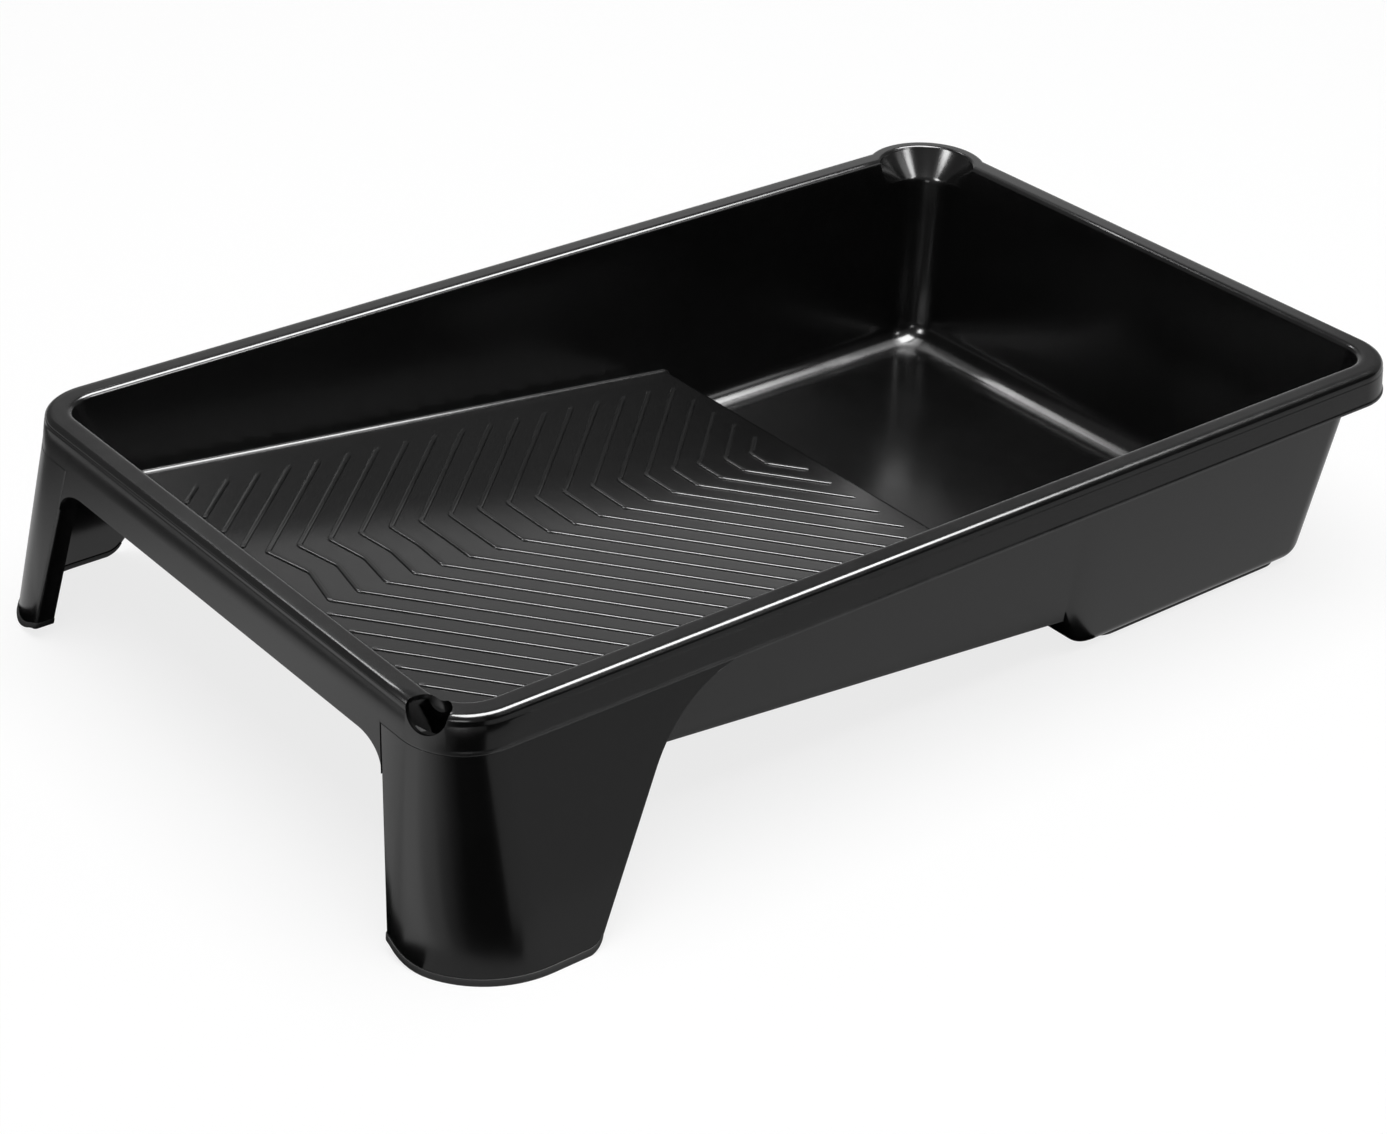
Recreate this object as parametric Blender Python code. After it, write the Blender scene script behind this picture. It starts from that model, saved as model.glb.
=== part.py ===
"""Paint roller tray: a black moulded basin with a ribbed ramp, two push-fit corner legs and soft feet.

Metres, +Z up, floor at z = 0. The shallow end is at -X, the deep paint well at +X and the front at -Y.
Depths are measured down from the top of the rim.
"""
import math

import bmesh
import bpy
from mathutils import Vector

# Rim and skirt
RIM_LENGTH = 0.489
RIM_WIDTH = 0.300
RIM_HEIGHT = 0.097
RIM_CORNER_RADIUS = 0.025
WALL_THICKNESS = 0.002
FLANGE_WIDTH = 0.011
SHOULDER_RADIUS = 0.003
INNER_EDGE_RADIUS = 0.0025
INNER_CORNER_RADIUS = 0.015
SKIRT_DEPTH = 0.0146
SKIRT_BAND = 0.002
SKIRT_FLARE = math.radians(5.0)
END_FLARE = math.radians(8.3)

# Basin walls, well and ramp
SIDE_DRAFT = math.radians(6.5)
END_DRAFT = math.radians(8.6)
RAMP_EDGE_FROM_END = 0.3138
RAMP_EDGE_DEPTH = 0.0695
RAMP_SLOPE = math.radians(6.3)
RAMP_FILLET = 0.002
RAMP_LIP = 0.0036
DROP_LENGTH = 0.024
DROP_POWER = 2.8
WELL_FILLET_SIDE = 0.010
WELL_FILLET_END = 0.013
UNDER_FILLET_SIDE = 0.006
UNDER_FILLET_END = 0.015

# Apron between the legs at the shallow end
APRON_DEPTH = 0.0225
ARCH_WIDTH = 0.0165
ARCH_DROP = 0.0105
LEG_EDGE_INSET = 0.0385
LEG_EDGE_TAPER = math.radians(13.0)

# Pouring spout at the back corner of the deep end
SPOUT_INSET = 0.026
SPOUT_OUTER_RADIUS = 0.0285
SPOUT_INNER_RADIUS = 0.0218
SPOUT_DEPTH = 0.0135
SPOUT_REACH = 0.012
SPOUT_STRAIGHT = 0.004

# Round opening in the front corner of the shallow end
HOLE_RADIUS = 0.0074
HOLE_FROM_END = 0.0066
HOLE_FROM_FRONT = 0.0162

# Roll-off ribs on the ramp
RIB_PITCH = 0.0141
RIB_WIDTH = 0.0020
RIB_HEIGHT = 0.0013
RIB_ROOT = 0.0006
RIB_EDGE_MARGIN = 0.010
RIB_END_MARGIN = 0.0285
RIB_WALL_MARGIN = 0.020
RIB_SHORTEST = 0.0045
RIB_FIRST_APEX_GAP = 0.0228
RIB_APEX_BACK = 0.0415
RIB_APEX_FRONT = 0.0305
RIB_APEX_BACK_TAPER = 0.037
RIB_APEX_FRONT_TAPER = 0.107
RIB_KNUCKLE = 0.0062
RIB_KNUCKLE_SPAN = 0.082

# Legs
LEG_SIDE_SPLAY = math.radians(15.6)
LEG_BOTTOM_RADIUS = 0.041
LEG_PROUD = 0.0003
LEG_TRAIL_AT_FLOOR = 0.0440
LEG_TRAIL_LEAN = math.radians(36.3)
LEG_TRAIL_FILLET = 0.055
LEG_TRAIL_LEVEL = 0.0007
LEG_TOE_RADIUS = 0.008
LEG_HEEL_RADIUS = 0.0035
TONGUE_HEIGHT = 0.0045
FIT_CLEARANCE = 0.0003

# Soft feet
FOOT_SOLE = 0.0014
FOOT_WALL = 0.0008
FOOT_GRIP = 0.0012
RING_THICKNESS = 0.0020
RING_WIDTH = 0.008
RING_OVERHANG = 0.0015

# Facets of the curves
DROP_SEGMENTS = 6
CORNER_SEGMENTS = 8
SPOUT_SEGMENTS = 14
SHOULDER_SEGMENTS = 3
EDGE_SEGMENTS = 2
FILLET_SEGMENTS = 4
ARCH_SEGMENTS = 5
TOE_SEGMENTS = 4
TRAIL_SEGMENTS = 8

# Values that follow from the sizes above
HALF_LENGTH = RIM_LENGTH / 2
HALF_WIDTH = RIM_WIDTH / 2
WELL_DEPTH = RIM_HEIGHT - RING_THICKNESS - FIT_CLEARANCE - WALL_THICKNESS
RAMP_EDGE_X = -HALF_LENGTH + RAMP_EDGE_FROM_END
LEG_BOTTOM_DEPTH = RIM_HEIGHT - FOOT_SOLE - FIT_CLEARANCE
TRAIL_LEVEL_DEPTH = SKIRT_DEPTH - LEG_TRAIL_LEVEL
FLAT_INSET = FLANGE_WIDTH - INNER_EDGE_RADIUS
END_REACH = math.tan(END_FLARE) * (RIM_HEIGHT - SHOULDER_RADIUS) + LEG_PROUD + FIT_CLEARANCE + FOOT_WALL
SPOUT_PROUD = SPOUT_OUTER_RADIUS - SPOUT_INSET + math.tan(SKIRT_FLARE) * (SKIRT_DEPTH - SHOULDER_RADIUS)
CENTRE_SHIFT = (END_REACH - SPOUT_PROUD) / 2


def clear_scene():
    for item in list(bpy.data.objects):
        bpy.data.objects.remove(item, do_unlink=True)


def make_material(name, colour, roughness):
    material = bpy.data.materials.new(name)
    material.use_nodes = True
    shader = material.node_tree.nodes["Principled BSDF"]
    shader.inputs["Base Color"].default_value = (colour, colour, colour, 1.0)
    shader.inputs["Roughness"].default_value = roughness
    shader.inputs["Metallic"].default_value = 0.0
    return material


def make_object(name, bm, material, sharp_angle=35.0):
    """Turn a finished mesh into a named, smooth-shaded object standing in the shared frame."""
    bmesh.ops.recalc_face_normals(bm, faces=bm.faces)
    mesh = bpy.data.meshes.new(name)
    bm.to_mesh(mesh)
    bm.free()
    mesh.shade_smooth()
    mesh.set_sharp_from_angle(angle=math.radians(sharp_angle))
    item = bpy.data.objects.new(name, mesh)
    bpy.context.scene.collection.objects.link(item)
    mesh.materials.append(material)
    item.location = (CENTRE_SHIFT, 0.0, 0.0)
    return item


def make_cutter(name, bm):
    mesh = bpy.data.meshes.new(name)
    bmesh.ops.recalc_face_normals(bm, faces=bm.faces)
    bm.to_mesh(mesh)
    bm.free()
    item = bpy.data.objects.new(name, mesh)
    bpy.context.scene.collection.objects.link(item)
    item.location = (CENTRE_SHIFT, 0.0, 0.0)
    item.hide_render = True
    item.display_type = "WIRE"
    return item


def add_boolean(target, cutter, operation):
    modifier = target.modifiers.new(cutter.name, "BOOLEAN")
    modifier.object = cutter
    modifier.operation = operation
    modifier.solver = "EXACT"


# Tray basin: floor profile along the length


def ramp_depth(x):
    return RAMP_EDGE_DEPTH + math.tan(RAMP_SLOPE) * (x - RAMP_EDGE_X)


def floor_profile():
    """Stations along the side walls as (x, depth): ramp, crisp ramp edge, curved drop, flat well floor."""
    first_x = -HALF_LENGTH + FLANGE_WIDTH + RIM_CORNER_RADIUS
    last_x = HALF_LENGTH - SPOUT_INSET - SPOUT_INNER_RADIUS - SPOUT_STRAIGHT
    stations = [(first_x, ramp_depth(first_x))]
    for step in range(DROP_SEGMENTS + 1):
        along = (step / DROP_SEGMENTS) ** 1.3
        down = 1.0 - (1.0 - along) ** DROP_POWER
        depth = RAMP_EDGE_DEPTH + (WELL_DEPTH - RAMP_EDGE_DEPTH) * down
        stations.append((RAMP_EDGE_X + DROP_LENGTH * along, depth))
    stations.append((last_x, WELL_DEPTH))
    return stations


def offset_below(stations):
    """The same stations on the underside, one wall thickness away along the mitred normal."""
    points = [Vector(station) for station in stations]
    directions = [(after - before).normalized() for before, after in zip(points, points[1:])]
    result = []
    for index, point in enumerate(points):
        before = directions[max(index - 1, 0)]
        after = directions[min(index, len(directions) - 1)]
        normal_before = Vector((-before.y, before.x))
        normal_after = Vector((-after.y, after.x))
        bisector = (normal_before + normal_after).normalized()
        result.append(point + bisector * (WALL_THICKNESS / bisector.dot(normal_before)))
    return result


# Tray basin: columns round the rim, each running from the skirt over the flange down to the floor


def arch_columns():
    """Columns of the front half of the shallow end, from the middle to the leg, as (y, lowest y, depth)."""
    leg_y = HALF_WIDTH - LEG_EDGE_INSET - FIT_CLEARANCE
    foot_depth = APRON_DEPTH + ARCH_DROP
    foot_y = leg_y + math.tan(LEG_EDGE_TAPER) * (foot_depth - SKIRT_DEPTH)
    start_y = foot_y - ARCH_WIDTH
    columns = [(0.0, 0.0, APRON_DEPTH)]
    for step in range(ARCH_SEGMENTS + 1):
        turn = math.pi / 2 * step / ARCH_SEGMENTS
        y = start_y + (leg_y - 2 * FIT_CLEARANCE - start_y) * math.sin(turn)
        low_y = start_y + ARCH_WIDTH * math.sin(turn)
        depth = APRON_DEPTH + ARCH_DROP * (1.0 - math.cos(turn))
        columns.append((y, low_y, depth))
    columns.append((leg_y, leg_y, SKIRT_DEPTH))
    return columns


def basin_columns():
    """All columns in order round the tray, counter-clockwise from the front of the shallow end."""
    tops = floor_profile()
    unders = offset_below(tops)
    pairs = list(zip(tops, unders))
    columns = []
    for top, under in pairs:
        columns.append({"kind": "front", "top": top, "under": under})
    for step in range(CORNER_SEGMENTS + 1):
        turn = math.pi * (1.5 + 0.5 * step / CORNER_SEGMENTS)
        columns.append({"kind": "corner", "sign_x": 1, "sign_y": -1, "turn": turn})
    columns.append({"kind": "right", "y": 0.0})
    for step in range(SPOUT_SEGMENTS + 1):
        columns.append({"kind": "spout", "share": step / SPOUT_SEGMENTS})
    for top, under in reversed(pairs):
        columns.append({"kind": "back", "top": top, "under": under})
    for step in range(CORNER_SEGMENTS + 1):
        turn = math.pi * (0.5 + 0.5 * step / CORNER_SEGMENTS)
        columns.append({"kind": "corner", "sign_x": -1, "sign_y": 1, "turn": turn})
    arch = arch_columns()
    for y, low_y, depth in reversed(arch[1:]):
        columns.append({"kind": "left", "y": y, "low_y": low_y, "skirt": depth})
    for y, low_y, depth in arch:
        columns.append({"kind": "left", "y": -y, "low_y": -low_y, "skirt": depth})
    for step in range(CORNER_SEGMENTS + 1):
        turn = math.pi * (1.0 + 0.5 * step / CORNER_SEGMENTS)
        columns.append({"kind": "corner", "sign_x": -1, "sign_y": -1, "turn": turn})
    return columns


def spout_plan(share, side, radius):
    """Point on the spout's own arc, which starts and ends on the straight edges of the rim."""
    beyond = math.acos(min((SPOUT_INSET - side) / radius, 1.0))
    turn = -beyond + (math.pi / 2 + 2 * beyond) * share
    x = HALF_LENGTH - SPOUT_INSET + radius * math.cos(turn)
    y = HALF_WIDTH - SPOUT_INSET + radius * math.sin(turn)
    return x, y


def plan_point(column, left, right, side, radius, under=False, spout_radius=None):
    """Plan position of a column on the ring that lies the given distances inside the rim's outline."""
    kind = column["kind"]
    low_x = -HALF_LENGTH + left
    high_x = HALF_LENGTH - right
    high_y = HALF_WIDTH - side
    if kind in ("front", "back"):
        station = column["under"] if under else column["top"]
        return station[0], high_y if kind == "back" else -high_y
    if kind == "left":
        return low_x, column["y"]
    if kind == "right":
        return high_x, column["y"]
    sign_x = column.get("sign_x", 1)
    sign_y = column.get("sign_y", 1)
    turn = column.get("turn")
    if kind == "spout":
        share = column["share"]
        if spout_radius:
            return spout_plan(share, side, spout_radius)
        if share == 0.0:
            return high_x, min(HALF_WIDTH - SPOUT_INSET - SPOUT_REACH, high_y - radius - SPOUT_STRAIGHT / 2)
        if share == 1.0:
            return min(HALF_LENGTH - SPOUT_INSET - SPOUT_REACH, high_x - radius - SPOUT_STRAIGHT / 2), high_y
        turn = math.pi / 2 * (share * SPOUT_SEGMENTS - 1.0) / (SPOUT_SEGMENTS - 2.0)
    centre_x = high_x - radius if sign_x > 0 else low_x + radius
    centre_y = sign_y * (high_y - radius)
    return centre_x + radius * math.cos(turn), centre_y + radius * math.sin(turn)


def side_share(column):
    """How much a column belongs to a long side (1) or to an end (0)."""
    kind = column["kind"]
    if kind in ("front", "back"):
        return 1.0
    if kind in ("left", "right"):
        return 0.0
    if kind == "spout":
        return column["share"]
    return math.sin(column["turn"]) ** 2


def wall_line(draft, depth):
    """Inset of the inner wall face at a depth, tangent to the rounded inner edge of the flange."""
    start_inset = FLAT_INSET + INNER_EDGE_RADIUS * math.cos(draft)
    start_depth = INNER_EDGE_RADIUS * (1.0 - math.sin(draft))
    return start_inset + math.tan(draft) * (depth - start_depth)


def wall_profile(draft, floor_depth, fillet, skin):
    """Rings of a wall as (inset, depth), from below the flange edge to the end of the floor fillet.

    The skin is 0 for the inner face and the wall thickness for the outer face.
    """
    shift = skin / math.cos(draft)
    rings = [(wall_line(draft, SPOUT_DEPTH + skin) - shift, SPOUT_DEPTH + skin)]
    tangent = fillet * math.tan((math.pi / 2 - draft) / 2)
    centre_inset = wall_line(draft, floor_depth) - shift + tangent
    for step in range(FILLET_SEGMENTS + 1):
        turn = draft + (math.pi / 2 - draft) * step / FILLET_SEGMENTS
        inset = centre_inset - fillet * math.cos(turn)
        depth = floor_depth - fillet + fillet * math.sin(turn)
        rings.append((inset, depth))
    return rings


def floor_depth_of(column):
    """Depth of the floor where a column's wall meets it."""
    kind = column["kind"]
    if kind in ("front", "back"):
        return column["top"][1]
    if kind in ("right", "spout") or column.get("sign_x") == 1:
        return WELL_DEPTH
    depth = ramp_depth(-HALF_LENGTH + FLANGE_WIDTH)
    for _ in range(6):
        left = wall_profile(END_DRAFT, depth, RAMP_FILLET, 0.0)[-1][0]
        side = wall_profile(SIDE_DRAFT, depth, RAMP_FILLET, 0.0)[-1][0]
        x = plan_point(column, left, left, side, INNER_CORNER_RADIUS - RAMP_FILLET)[0]
        depth = ramp_depth(x)
    return depth


def fillets_of(depth, under):
    """Floor fillet radii at a floor depth, as (long side, end)."""
    share = (depth - RAMP_EDGE_DEPTH) / (WELL_DEPTH - RAMP_EDGE_DEPTH)
    share = min(max(share, 0.0), 1.0)
    start = RAMP_FILLET + WALL_THICKNESS if under else RAMP_FILLET
    well_side = UNDER_FILLET_SIDE if under else WELL_FILLET_SIDE
    well_end = UNDER_FILLET_END if under else WELL_FILLET_END
    return start + (well_side - start) * share, start + (well_end - start) * share


def skirt_inset(flare, depth):
    return -math.tan(flare) * (depth - SHOULDER_RADIUS)


def add_ramp_lip(column, points):
    """Run the side wall on below the ramp as a stiffening lip, by reshaping its last underside points."""
    x, floor_depth = column["under"]
    lip_depth = ramp_depth(x) + WALL_THICKNESS + RAMP_LIP
    if floor_depth > lip_depth - WALL_THICKNESS:
        return
    sign = 1.0 if column["kind"] == "back" else -1.0
    outer_shift = WALL_THICKNESS / math.cos(SIDE_DRAFT)
    lip_inset = wall_line(SIDE_DRAFT, lip_depth) - outer_shift
    root_inset = wall_line(SIDE_DRAFT, floor_depth) - outer_shift + WALL_THICKNESS
    corners = [(lip_inset, lip_depth), (lip_inset + WALL_THICKNESS, lip_depth), (root_inset, floor_depth)]
    for point, (inset, depth) in zip(points[-4:-1], corners):
        point.y = sign * (HALF_WIDTH - inset)
        point.z = RIM_HEIGHT - depth


def column_points(column, skin):
    """All points of a column on the upper face (skin 0) or the underside, from the skirt to the floor."""
    under = skin > 0.0
    share = side_share(column)
    skirt = column.get("skirt", SKIRT_DEPTH)
    points = []

    def add(left, right, side, radius, depth, spout_radius=None):
        x, y = plan_point(column, left, right, side, radius, under, spout_radius)
        points.append(Vector((x, y, RIM_HEIGHT - depth)))

    # Skirt
    left = skirt_inset(END_FLARE, skirt) + skin
    side = skirt_inset(SKIRT_FLARE, skirt) + skin
    add(left, side, side, RIM_CORNER_RADIUS - side, skirt, SPOUT_OUTER_RADIUS - side)
    if "low_y" in column:
        points[0].y = column["low_y"]
    band = SKIRT_DEPTH - SKIRT_BAND
    left = skirt_inset(END_FLARE, band) + skin
    side = skirt_inset(SKIRT_FLARE, band) + skin
    add(left, side, side, RIM_CORNER_RADIUS - side, band, SPOUT_OUTER_RADIUS - side)
    squeeze = (SPOUT_OUTER_RADIUS - SPOUT_INNER_RADIUS) / FLANGE_WIDTH
    if under:
        add(skin, skin, skin, RIM_CORNER_RADIUS - skin, skin, SPOUT_OUTER_RADIUS - skin)
        inset = FLANGE_WIDTH - skin
        add(inset, inset, inset, INNER_CORNER_RADIUS + skin, skin, SPOUT_INNER_RADIUS + skin)
    else:
        # Rounded shoulder, flat flange and rounded inner edge
        for step in range(SHOULDER_SEGMENTS + 1):
            turn = math.pi / 2 * step / SHOULDER_SEGMENTS
            inset = SHOULDER_RADIUS * (1.0 - math.cos(turn))
            depth = SHOULDER_RADIUS * (1.0 - math.sin(turn))
            add(inset, inset, inset, RIM_CORNER_RADIUS - inset, depth, SPOUT_OUTER_RADIUS - inset * squeeze)
        for step in range(EDGE_SEGMENTS + 1):
            turn = (math.pi / 2 - SIDE_DRAFT) * step / EDGE_SEGMENTS
            inset = FLAT_INSET + INNER_EDGE_RADIUS * math.sin(turn)
            depth = INNER_EDGE_RADIUS * (1.0 - math.cos(turn))
            radius = INNER_CORNER_RADIUS + FLANGE_WIDTH - inset
            add(inset, inset, inset, radius, depth, SPOUT_OUTER_RADIUS - inset * squeeze)

    # Wall and floor fillet
    floor_depth = floor_depth_of(column)
    side_fillet, end_fillet = fillets_of(floor_depth, under)
    if under:
        floor_depth = column["under"][1] if "under" in column else floor_depth + skin
    side_rings = wall_profile(SIDE_DRAFT, floor_depth, side_fillet, skin)
    end_rings = wall_profile(END_DRAFT, floor_depth, end_fillet, skin)
    for index, (side_ring, end_ring) in enumerate(zip(side_rings, end_rings)):
        depth = share * side_ring[1] + (1.0 - share) * end_ring[1]
        radius = INNER_CORNER_RADIUS + skin
        if index > 0:
            moved = (side_ring[0] - side_rings[1][0] + end_ring[0] - end_rings[1][0]) / 2
            radius = max(radius - moved, INNER_CORNER_RADIUS * 0.15)
        add(end_ring[0], end_ring[0], side_ring[0], radius, depth)
    if under and "under" in column:
        add_ramp_lip(column, points)
    elif under and floor_depth < RAMP_EDGE_DEPTH:
        points[-1].z = RIM_HEIGHT - ramp_depth(points[-1].x) - skin / math.cos(RAMP_SLOPE)
    return points


def floor_faces(bm, columns, verts, flip):
    """Ramp, curved drop and well floor, spanning from the front columns to the back ones."""
    fronts = [i for i, column in enumerate(columns) if column["kind"] == "front"]
    backs = [i for i, column in enumerate(columns) if column["kind"] == "back"]
    backs.reverse()
    edge = 1
    flat = len(fronts) - 2
    count = len(columns)
    ramp = fronts[:edge + 1] + list(range(backs[edge], count))
    well = list(range(fronts[flat], backs[flat] + 1))
    loops = [ramp, well]
    for step in range(edge, flat):
        loops.append([fronts[step], fronts[step + 1], backs[step + 1], backs[step]])
    for loop in loops:
        corners = [verts[i][-1] for i in loop]
        if flip:
            corners.reverse()
        bm.faces.new(corners)


def build_basin_mesh():
    bm = bmesh.new()
    columns = basin_columns()
    upper = [[bm.verts.new(point) for point in column_points(column, 0.0)] for column in columns]
    lower = [[bm.verts.new(point) for point in column_points(column, WALL_THICKNESS)] for column in columns]
    count = len(columns)
    for index in range(count):
        following = (index + 1) % count
        for verts, flip in ((upper, False), (lower, True)):
            here = verts[index]
            there = verts[following]
            for ring in range(len(here) - 1):
                corners = [here[ring], there[ring], there[ring + 1], here[ring + 1]]
                if flip:
                    corners.reverse()
                bm.faces.new(corners)
        bm.faces.new([lower[index][0], lower[following][0], upper[following][0], upper[index][0]])
    floor_faces(bm, columns, upper, False)
    floor_faces(bm, columns, lower, True)
    return bm


# Ribs of the ramp


def rib_lines():
    """Centre lines of the chevron ribs in plan, each clipped to the rib field.

    A rib is two slanted runs with a short link between, and the links bow a little near the shallow end.
    """
    low_x = -HALF_LENGTH + wall_line(END_DRAFT, ramp_depth(-HALF_LENGTH)) + RIB_END_MARGIN
    high_x = RAMP_EDGE_X - RIB_EDGE_MARGIN
    high_y = HALF_WIDTH - wall_line(SIDE_DRAFT, ramp_depth(low_x)) - RIB_WALL_MARGIN
    first_apex = RAMP_EDGE_X - RIB_FIRST_APEX_GAP
    lines = []
    count = int((first_apex - low_x + 2 * high_y) / RIB_PITCH)
    for index in range(count):
        apex_x = first_apex - index * RIB_PITCH
        back_y = RIB_APEX_BACK + RIB_APEX_BACK_TAPER * (first_apex - apex_x)
        front_y = RIB_APEX_FRONT - RIB_APEX_FRONT_TAPER * (first_apex - apex_x)
        hidden = max(low_x - apex_x, 0.0)
        back_run = min(high_x - apex_x, high_y - back_y)
        front_run = min(high_x - apex_x, front_y + high_y)
        back_start = (apex_x + hidden, back_y + hidden)
        back_end = (apex_x + back_run, back_y + back_run)
        front_start = (apex_x + hidden, front_y - hidden)
        front_end = (apex_x + front_run, front_y - front_run)
        if hidden == 0.0:
            bow = RIB_KNUCKLE * max(1.0 - (apex_x - low_x) / RIB_KNUCKLE_SPAN, 0.0)
            knuckle = (apex_x + bow, (back_y + front_y) / 2)
            lines.append([back_end, back_start, knuckle, front_start, front_end])
            continue
        if back_run > hidden + RIB_SHORTEST:
            lines.append([back_end, back_start])
        if front_run > hidden + RIB_SHORTEST:
            lines.append([front_start, front_end])
    return lines


def rib_outline(line):
    """Left and right edges of a rib round its centre line, mitred at the bends."""
    points = [Vector(point) for point in line]
    directions = [(after - before).normalized() for before, after in zip(points, points[1:])]
    left = []
    right = []
    for index, point in enumerate(points):
        before = directions[max(index - 1, 0)]
        after = directions[min(index, len(directions) - 1)]
        normal = Vector((-before.y - after.y, before.x + after.x)).normalized()
        reach = RIB_WIDTH / 2 / normal.dot(Vector((-after.y, after.x)))
        left.append(point + normal * reach)
        right.append(point - normal * reach)
    return left + right[::-1]


def build_rib_mesh():
    bm = bmesh.new()
    for line in rib_lines():
        base = []
        for point in rib_outline(line):
            z = RIM_HEIGHT - ramp_depth(point.x) - RIB_ROOT
            base.append(bm.verts.new((point.x, point.y, z)))
        face = bm.faces.new(base)
        lifted = bmesh.ops.extrude_face_region(bm, geom=[face])
        tops = [item for item in lifted["geom"] if isinstance(item, bmesh.types.BMVert)]
        bmesh.ops.translate(bm, verts=tops, vec=(0.0, 0.0, RIB_ROOT + RIB_HEIGHT))
    return bm


def build_hole_mesh():
    bm = bmesh.new()
    bmesh.ops.create_uvsphere(bm, u_segments=24, v_segments=12, radius=HOLE_RADIUS)
    place = Vector((-HALF_LENGTH + HOLE_FROM_END, -HALF_WIDTH + HOLE_FROM_FRONT, RIM_HEIGHT + 0.0002))
    bmesh.ops.translate(bm, verts=bm.verts, vec=place)
    return bm


# Legs: corner shells that hang below the skirt, with a tongue pushed up behind it


def leg_trail(depth):
    """Distance of the leg's trailing edge from the shallow end of the rim at a depth."""
    lean = math.tan(LEG_TRAIL_LEAN)
    straight = LEG_TRAIL_AT_FLOOR + lean * (LEG_BOTTOM_DEPTH - depth)
    half_turn = (math.pi / 2 - LEG_TRAIL_LEAN) / 2
    tangent = LEG_TRAIL_FILLET * math.tan(half_turn)
    if depth < TRAIL_LEVEL_DEPTH + tangent * math.cos(LEG_TRAIL_LEAN):
        centre = LEG_TRAIL_AT_FLOOR + lean * (LEG_BOTTOM_DEPTH - TRAIL_LEVEL_DEPTH) + tangent
        rise = TRAIL_LEVEL_DEPTH + LEG_TRAIL_FILLET - depth
        return centre - math.sqrt(max(LEG_TRAIL_FILLET ** 2 - rise ** 2, 0.0))
    toe_rise = LEG_TOE_RADIUS * (1.0 - math.sin(LEG_TRAIL_LEAN))
    if depth > LEG_BOTTOM_DEPTH - toe_rise:
        tangent = LEG_TOE_RADIUS * math.tan(half_turn)
        rise = depth - (LEG_BOTTOM_DEPTH - LEG_TOE_RADIUS)
        return LEG_TRAIL_AT_FLOOR - tangent + math.sqrt(max(LEG_TOE_RADIUS ** 2 - rise ** 2, 0.0))
    return straight


def leg_edge(depth):
    """Distance of the leg's arch edge from the middle of the tray at a depth, rounded off at the floor."""
    edge = HALF_WIDTH - LEG_EDGE_INSET + math.tan(LEG_EDGE_TAPER) * (depth - SKIRT_DEPTH)
    rise = depth - (LEG_BOTTOM_DEPTH - LEG_HEEL_RADIUS)
    if rise > 0.0:
        edge += LEG_HEEL_RADIUS - math.sqrt(max(LEG_HEEL_RADIUS ** 2 - rise ** 2, 0.0))
    return edge


def corner_row(end_x, side_y, radius, edge_y, trail_x, depth, side):
    """One row of points round a leg, from the arch edge to the trailing edge; side is -1 front, 1 rear."""
    z = RIM_HEIGHT - depth
    edge_y = min(edge_y, side_y - radius - FIT_CLEARANCE)
    row = [Vector((end_x, side * edge_y, z))]
    for step in range(CORNER_SEGMENTS + 1):
        turn = math.pi / 2 * step / CORNER_SEGMENTS
        x = end_x + radius - radius * math.cos(turn)
        y = side_y - radius + radius * math.sin(turn)
        row.append(Vector((x, side * y, z)))
    row.append(Vector((trail_x, side * side_y, z)))
    return row


def leg_row(depth, inset, side, trail_x=None):
    """Row on the leg's outer face, moved inward by the inset."""
    top_inset = skirt_inset(SKIRT_FLARE, SKIRT_DEPTH)
    side_y = HALF_WIDTH - top_inset + math.tan(LEG_SIDE_SPLAY) * (depth - SKIRT_DEPTH) + LEG_PROUD - inset
    end_x = -HALF_LENGTH + skirt_inset(END_FLARE, depth) - LEG_PROUD + inset
    top_radius = RIM_CORNER_RADIUS - top_inset + LEG_PROUD
    share = (depth - SKIRT_DEPTH) / (RIM_HEIGHT - SKIRT_DEPTH)
    radius = top_radius + (LEG_BOTTOM_RADIUS - top_radius) * share - inset
    if trail_x is None:
        trail_x = -HALF_LENGTH + leg_trail(depth)
    return corner_row(end_x, side_y, radius, leg_edge(depth), trail_x, depth, side)


def tongue_row(depth, inset, side):
    """Row on the tongue, which stands inside the skirt of the rim."""
    side_inset = skirt_inset(SKIRT_FLARE, depth) + inset
    end_inset = skirt_inset(END_FLARE, depth) + inset
    radius = RIM_CORNER_RADIUS - side_inset
    trail_x = -HALF_LENGTH + leg_trail(SKIRT_DEPTH + 2 * WALL_THICKNESS)
    end_x = -HALF_LENGTH + end_inset
    edge_y = leg_edge(max(depth, SKIRT_DEPTH))
    return corner_row(end_x, HALF_WIDTH - side_inset, radius, edge_y, trail_x, depth, side)


def leg_depths():
    """Depths of the rows of a leg, from the floor end up: toe, straight edge, trailing curve."""
    half_turn = (math.pi / 2 - LEG_TRAIL_LEAN) / 2
    curve = LEG_TRAIL_FILLET * math.tan(half_turn) * math.cos(LEG_TRAIL_LEAN)
    top = SKIRT_DEPTH + FIT_CLEARANCE
    depths = []
    for step in range(TOE_SEGMENTS + 1):
        depths.append(LEG_BOTTOM_DEPTH - LEG_TOE_RADIUS * (step / TOE_SEGMENTS) ** 2)
    for step in range(TRAIL_SEGMENTS + 1):
        share = step / TRAIL_SEGMENTS
        depths.append(top + (TRAIL_LEVEL_DEPTH + curve - top) * (1.0 - share) ** 2)
    return depths


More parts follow.
